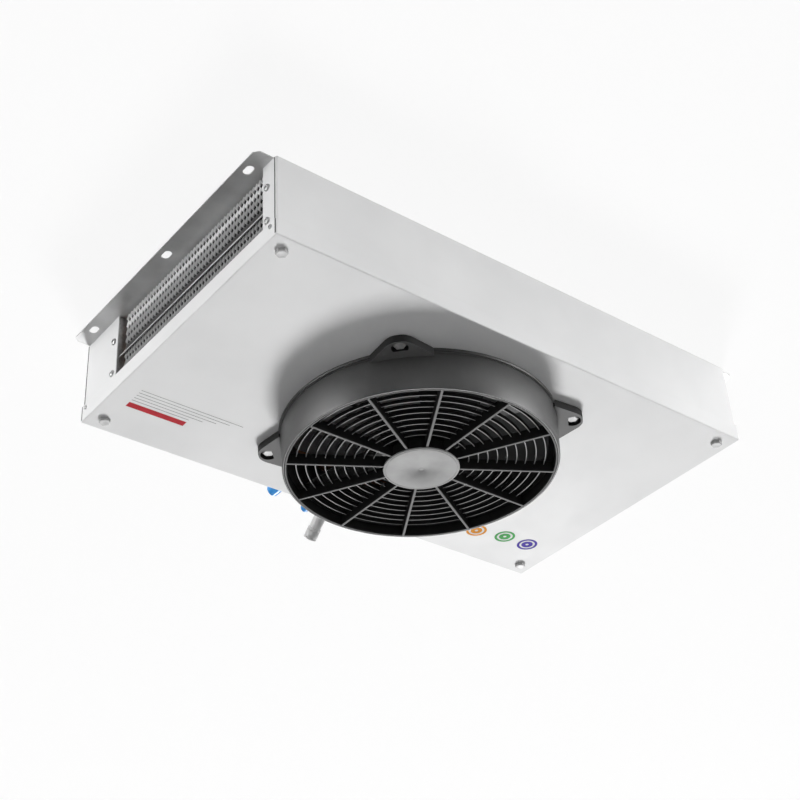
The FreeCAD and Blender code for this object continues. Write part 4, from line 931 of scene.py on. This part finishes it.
def make_stripes():
    """A plain red bar and thin grey lines near the left end, in place of the printed mark."""
    dark_red, light_red = (0.42, 0.02, 0.03), (0.5, 0.03, 0.04)
    red = moulded("stripe_red", dark_red, light_red, PRINT_SHINE, PRINT_ROUGH)
    grey = moulded("stripe_grey", 0.2, 0.26, PRINT_SHINE, PRINT_ROUGH)
    face = PAN_FACE - 0.08 * MM
    bar = bmesh.new()
    x_low, y_low = STRIPE_CORNER
    add_patch(bar, (x_low, y_low, face), (x_low + STRIPE_LENGTH, y_low + STRIPE_WIDTH, PAN_FACE))
    new_piece("red_stripe", mesh_from("red_stripe", bar), red)
    lines = bmesh.new()
    for step in range(STRIPE_COUNT):
        y = y_low - STRIPE_STEP * (step + 1)
        length = STRIPE_LENGTH * (1.0 + 0.2 * step)
        add_patch(lines, (x_low, y, face), (x_low + length, y + LINE_WIDTH, PAN_FACE))
    new_piece("grey_stripes", mesh_from("grey_stripes", lines), grey)


# Drain tube


def add_tube(shape, path, radii, sides=TUBE_SIDES):
    """A closed skin round a path in the plane x = 0; radii gives one radius for each point."""
    rows = []
    count = len(path)
    for index, point in enumerate(path):
        ahead = path[min(index + 1, count - 1)] - path[max(index - 1, 0)]
        ahead.normalize()
        across = Vector((1, 0, 0))
        upward = across.cross(ahead)
        ring = []
        for step in range(sides):
            angle = 2 * math.pi * step / sides
            offset = across * math.cos(angle) + upward * math.sin(angle)
            ring.append(shape.verts.new(point + offset * radii[index]))
        rows.append(ring)
    for before, after in zip(rows, rows[1:]):
        for index in range(sides):
            follow = (index + 1) % sides
            shape.faces.new((before[index], before[follow], after[follow], after[index]))
    shape.faces.new(rows[0][::-1])
    shape.faces.new(rows[-1])


def drain_bend(knee, turn_radius):
    """Points along the arc that turns the tube down at its knee."""
    setback = turn_radius * math.tan(DRAIN_TILT / 2)
    centre = knee + Vector((0, -setback, -turn_radius))
    points = []
    steps = 12
    for step in range(steps + 1):
        angle = DRAIN_TILT * step / steps
        points.append(centre + turn_radius * Vector((0, math.sin(angle), math.cos(angle))))
    return points


def make_drain():
    """The outlet tube, bent down behind its nut, with a thicker grooved and open end."""
    radius, sleeve = DRAIN_RADIUS, DRAIN_SLEEVE
    heading = Vector((0, math.cos(DRAIN_TILT), -math.sin(DRAIN_TILT)))
    knee = Vector((DRAIN_PLACE, pan_high.y + 13 * MM, DRAIN_LEVEL))
    path = [Vector((DRAIN_PLACE, pan_high.y - 7.2 * MM, DRAIN_LEVEL))]
    path += drain_bend(knee, 1.6 * radius)
    radii = [radius] * len(path)
    end = knee + heading * DRAIN_LENGTH
    start = end - heading * DRAIN_SLEEVE_LENGTH
    collar = ((0, radius), (0.3, sleeve), (3, sleeve), (3.6, radius))
    body = ((4.4, sleeve), (13.6, sleeve))
    far_steps = ((2.6, radius + 0.3 * MM), (1.8, sleeve), (0.5, sleeve), (0, sleeve - 0.5 * MM))
    for along, size in collar + body:
        path.append(start + heading * along * MM)
        radii.append(size)
    for back, size in far_steps:
        path.append(end - heading * back * MM)
        radii.append(size)
    path += [end.copy(), end - heading * DRAIN_BORE_DEPTH]
    radii += [DRAIN_BORE, DRAIN_BORE]
    shape = bmesh.new()
    add_tube(shape, path, radii)
    bmesh.ops.recalc_face_normals(shape, faces=shape.faces)
    mesh = mesh_from("drain_tube", shape)
    piece = new_piece("drain_tube", mesh, DRAIN_PLASTIC, sharp=50)
    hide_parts("drain_outlet")


# Stage, lights and camera


def stage_material(name, shade, shadow_share):
    """A matt surface, clear from behind and to light, with the shadows on it softened."""
    made = Nodes(name)
    made.set(Roughness=1.0, Specular_IOR_Level=0.0)
    made.shader.inputs["Base Color"].default_value = colour(shade)
    glow = made.node("ShaderNodeEmission", Strength=1.0)
    glow.inputs["Color"].default_value = colour(1.0)
    rays = made.node("ShaderNodeLightPath")
    share = made.node("ShaderNodeMath", operation="MULTIPLY")
    share.inputs[1].default_value = shadow_share
    made.link(rays.outputs["Is Camera Ray"], share.inputs[0])
    blend = made.node("ShaderNodeMixShader")
    made.link(share.outputs[0], blend.inputs["Fac"])
    made.link(made.shader.outputs[0], blend.inputs[1])
    made.link(glow.outputs[0], blend.inputs[2])
    behind = made.node("ShaderNodeNewGeometry")
    clear = made.node("ShaderNodeBsdfTransparent")
    whole = made.node("ShaderNodeMixShader")
    unseen = made.node("ShaderNodeMath", operation="MAXIMUM")
    made.link(behind.outputs["Backfacing"], unseen.inputs[0])
    made.link(rays.outputs["Is Shadow Ray"], unseen.inputs[1])
    made.link(unseen.outputs[0], whole.inputs["Fac"])
    made.link(blend.outputs[0], whole.inputs[1])
    made.link(clear.outputs[0], whole.inputs[2])
    output = made.tree.nodes["Material Output"]
    made.link(whole.outputs[0], output.inputs["Surface"])
    return made.material


def rectangle(half_x, half_y):
    """Corners of a rectangle round the middle."""
    return [(-half_x, -half_y), (half_x, -half_y), (half_x, half_y), (-half_x, half_y)]


def put_on_stage(name, shape, material):
    mesh = mesh_from(name, shape)
    item = bpy.data.objects.new(name, mesh)
    bpy.context.scene.collection.objects.link(item)
    mesh.materials.append(material)


def make_ceiling():
    """A ceiling round the case: it faces down and leaves the case's own top free."""
    shape = bmesh.new()
    level = cad_box[1].z + 0.5 * MM
    far = [shape.verts.new((x, y, level)) for x, y in rectangle(CEILING_REACH, CEILING_REACH)]
    near = [shape.verts.new((x, y, level)) for x, y in rectangle(END_FACE + 4 * MM, 0.2)]
    for index in range(4):
        after = (index + 1) % 4
        shape.faces.new((far[index], near[index], near[after], far[after]))
    put_on_stage("ceiling", shape, stage_material("ceiling_white", 0.85, 0.9))


def make_floor():
    """A pale floor far below the case."""
    shape = bmesh.new()
    corners = rectangle(FLOOR_REACH, FLOOR_REACH)
    shape.faces.new([shape.verts.new((x, y, FLOOR_LEVEL)) for x, y in corners])
    put_on_stage("floor", shape, stage_material("floor_pale", 0.42, 0.7))


def make_world():
    """A faint cool light from all sides, which the camera sees as white."""
    world = bpy.data.worlds.new("studio")
    bpy.context.scene.world = world
    world.use_nodes = True
    tree = world.node_tree
    light = tree.nodes["Background"]
    light.inputs["Color"].default_value = (0.96, 0.98, 1.0, 1.0)
    light.inputs["Strength"].default_value = 0.11
    white = tree.nodes.new("ShaderNodeBackground")
    white.inputs["Color"].default_value = (1.0, 1.0, 1.0, 1.0)
    rays = tree.nodes.new("ShaderNodeLightPath")
    blend = tree.nodes.new("ShaderNodeMixShader")
    output = tree.nodes["World Output"]
    tree.links.new(rays.outputs["Is Camera Ray"], blend.inputs["Fac"])
    tree.links.new(light.outputs[0], blend.inputs[1])
    tree.links.new(white.outputs[0], blend.inputs[2])
    tree.links.new(blend.outputs[0], output.inputs["Surface"])


def add_softbox(name, place, target, size, power):
    lamp = bpy.data.lights.new(name, "AREA")
    lamp.shape = "RECTANGLE"
    lamp.size, lamp.size_y = size
    lamp.energy = power
    box = bpy.data.objects.new(name, lamp)
    bpy.context.scene.collection.objects.link(box)
    box.location = place
    aim = Vector(target) - Vector(place)
    box.rotation_mode = "QUATERNION"
    box.rotation_quaternion = aim.to_track_quat("-Z", "Y")
    box.visible_camera = False


def make_lights():
    """A key from below and behind, which throws the fan's shadow forward, and soft fills."""
    middle = (0, 0, -0.1)
    add_softbox("key", (6.2, 6.8, -5.7), middle, (2.4, 2.4), 1100)
    add_softbox("near_fill", (1.8, -2.1, -0.14), middle, (1.5, 0.3), 53)
    add_softbox("left_fill", (-2.35, 0.85, -0.14), middle, (1.3, 0.3), 30)
    add_softbox("coil_fill", (-1.6, -1.0, 0.4), (-0.36, 0, -0.05), (0.5, 0.3), 7)
    add_softbox("top_fill", (0.4, -0.3, 3.0), middle, (2.0, 2.0), 40)


def make_camera():
    """The photograph's camera, solved from the case's corners and the fan's circle."""
    image_width = 800
    focal_pixels = 1566.25
    lens = bpy.data.cameras.new("camera")
    lens.sensor_width = 36
    lens.sensor_fit = "HORIZONTAL"
    lens.lens = focal_pixels / image_width * lens.sensor_width
    lens.clip_end = 60
    camera = bpy.data.objects.new("camera", lens)
    bpy.context.scene.collection.objects.link(camera)
    right = Vector((0.79062, -0.61032, -0.04926)).normalized()
    up = Vector((-0.3158, -0.47537, 0.82115)).normalized()
    back = right.cross(up).normalized()
    up = back.cross(right)
    place = Vector((-1.09547, -1.28868, -1.23557))
    turn = Matrix((right, up, back)).transposed().to_4x4()
    camera.matrix_world = Matrix.Translation(place) @ turn
    bpy.context.scene.camera = camera


def make_scene():
    bpy.context.scene.view_settings.view_transform = "Standard"
    dress_nodes()
    make_guard()
    make_shroud()
    make_hub_cap()
    for side in ("left", "right"):
        make_fins(side)
    make_bolts()
    make_screws()
    make_corner_shade_strips()
    make_stickers()
    make_stripes()
    make_drain()
    make_ceiling()
    make_floor()
    make_world()
    make_lights()
    make_camera()


make_scene()
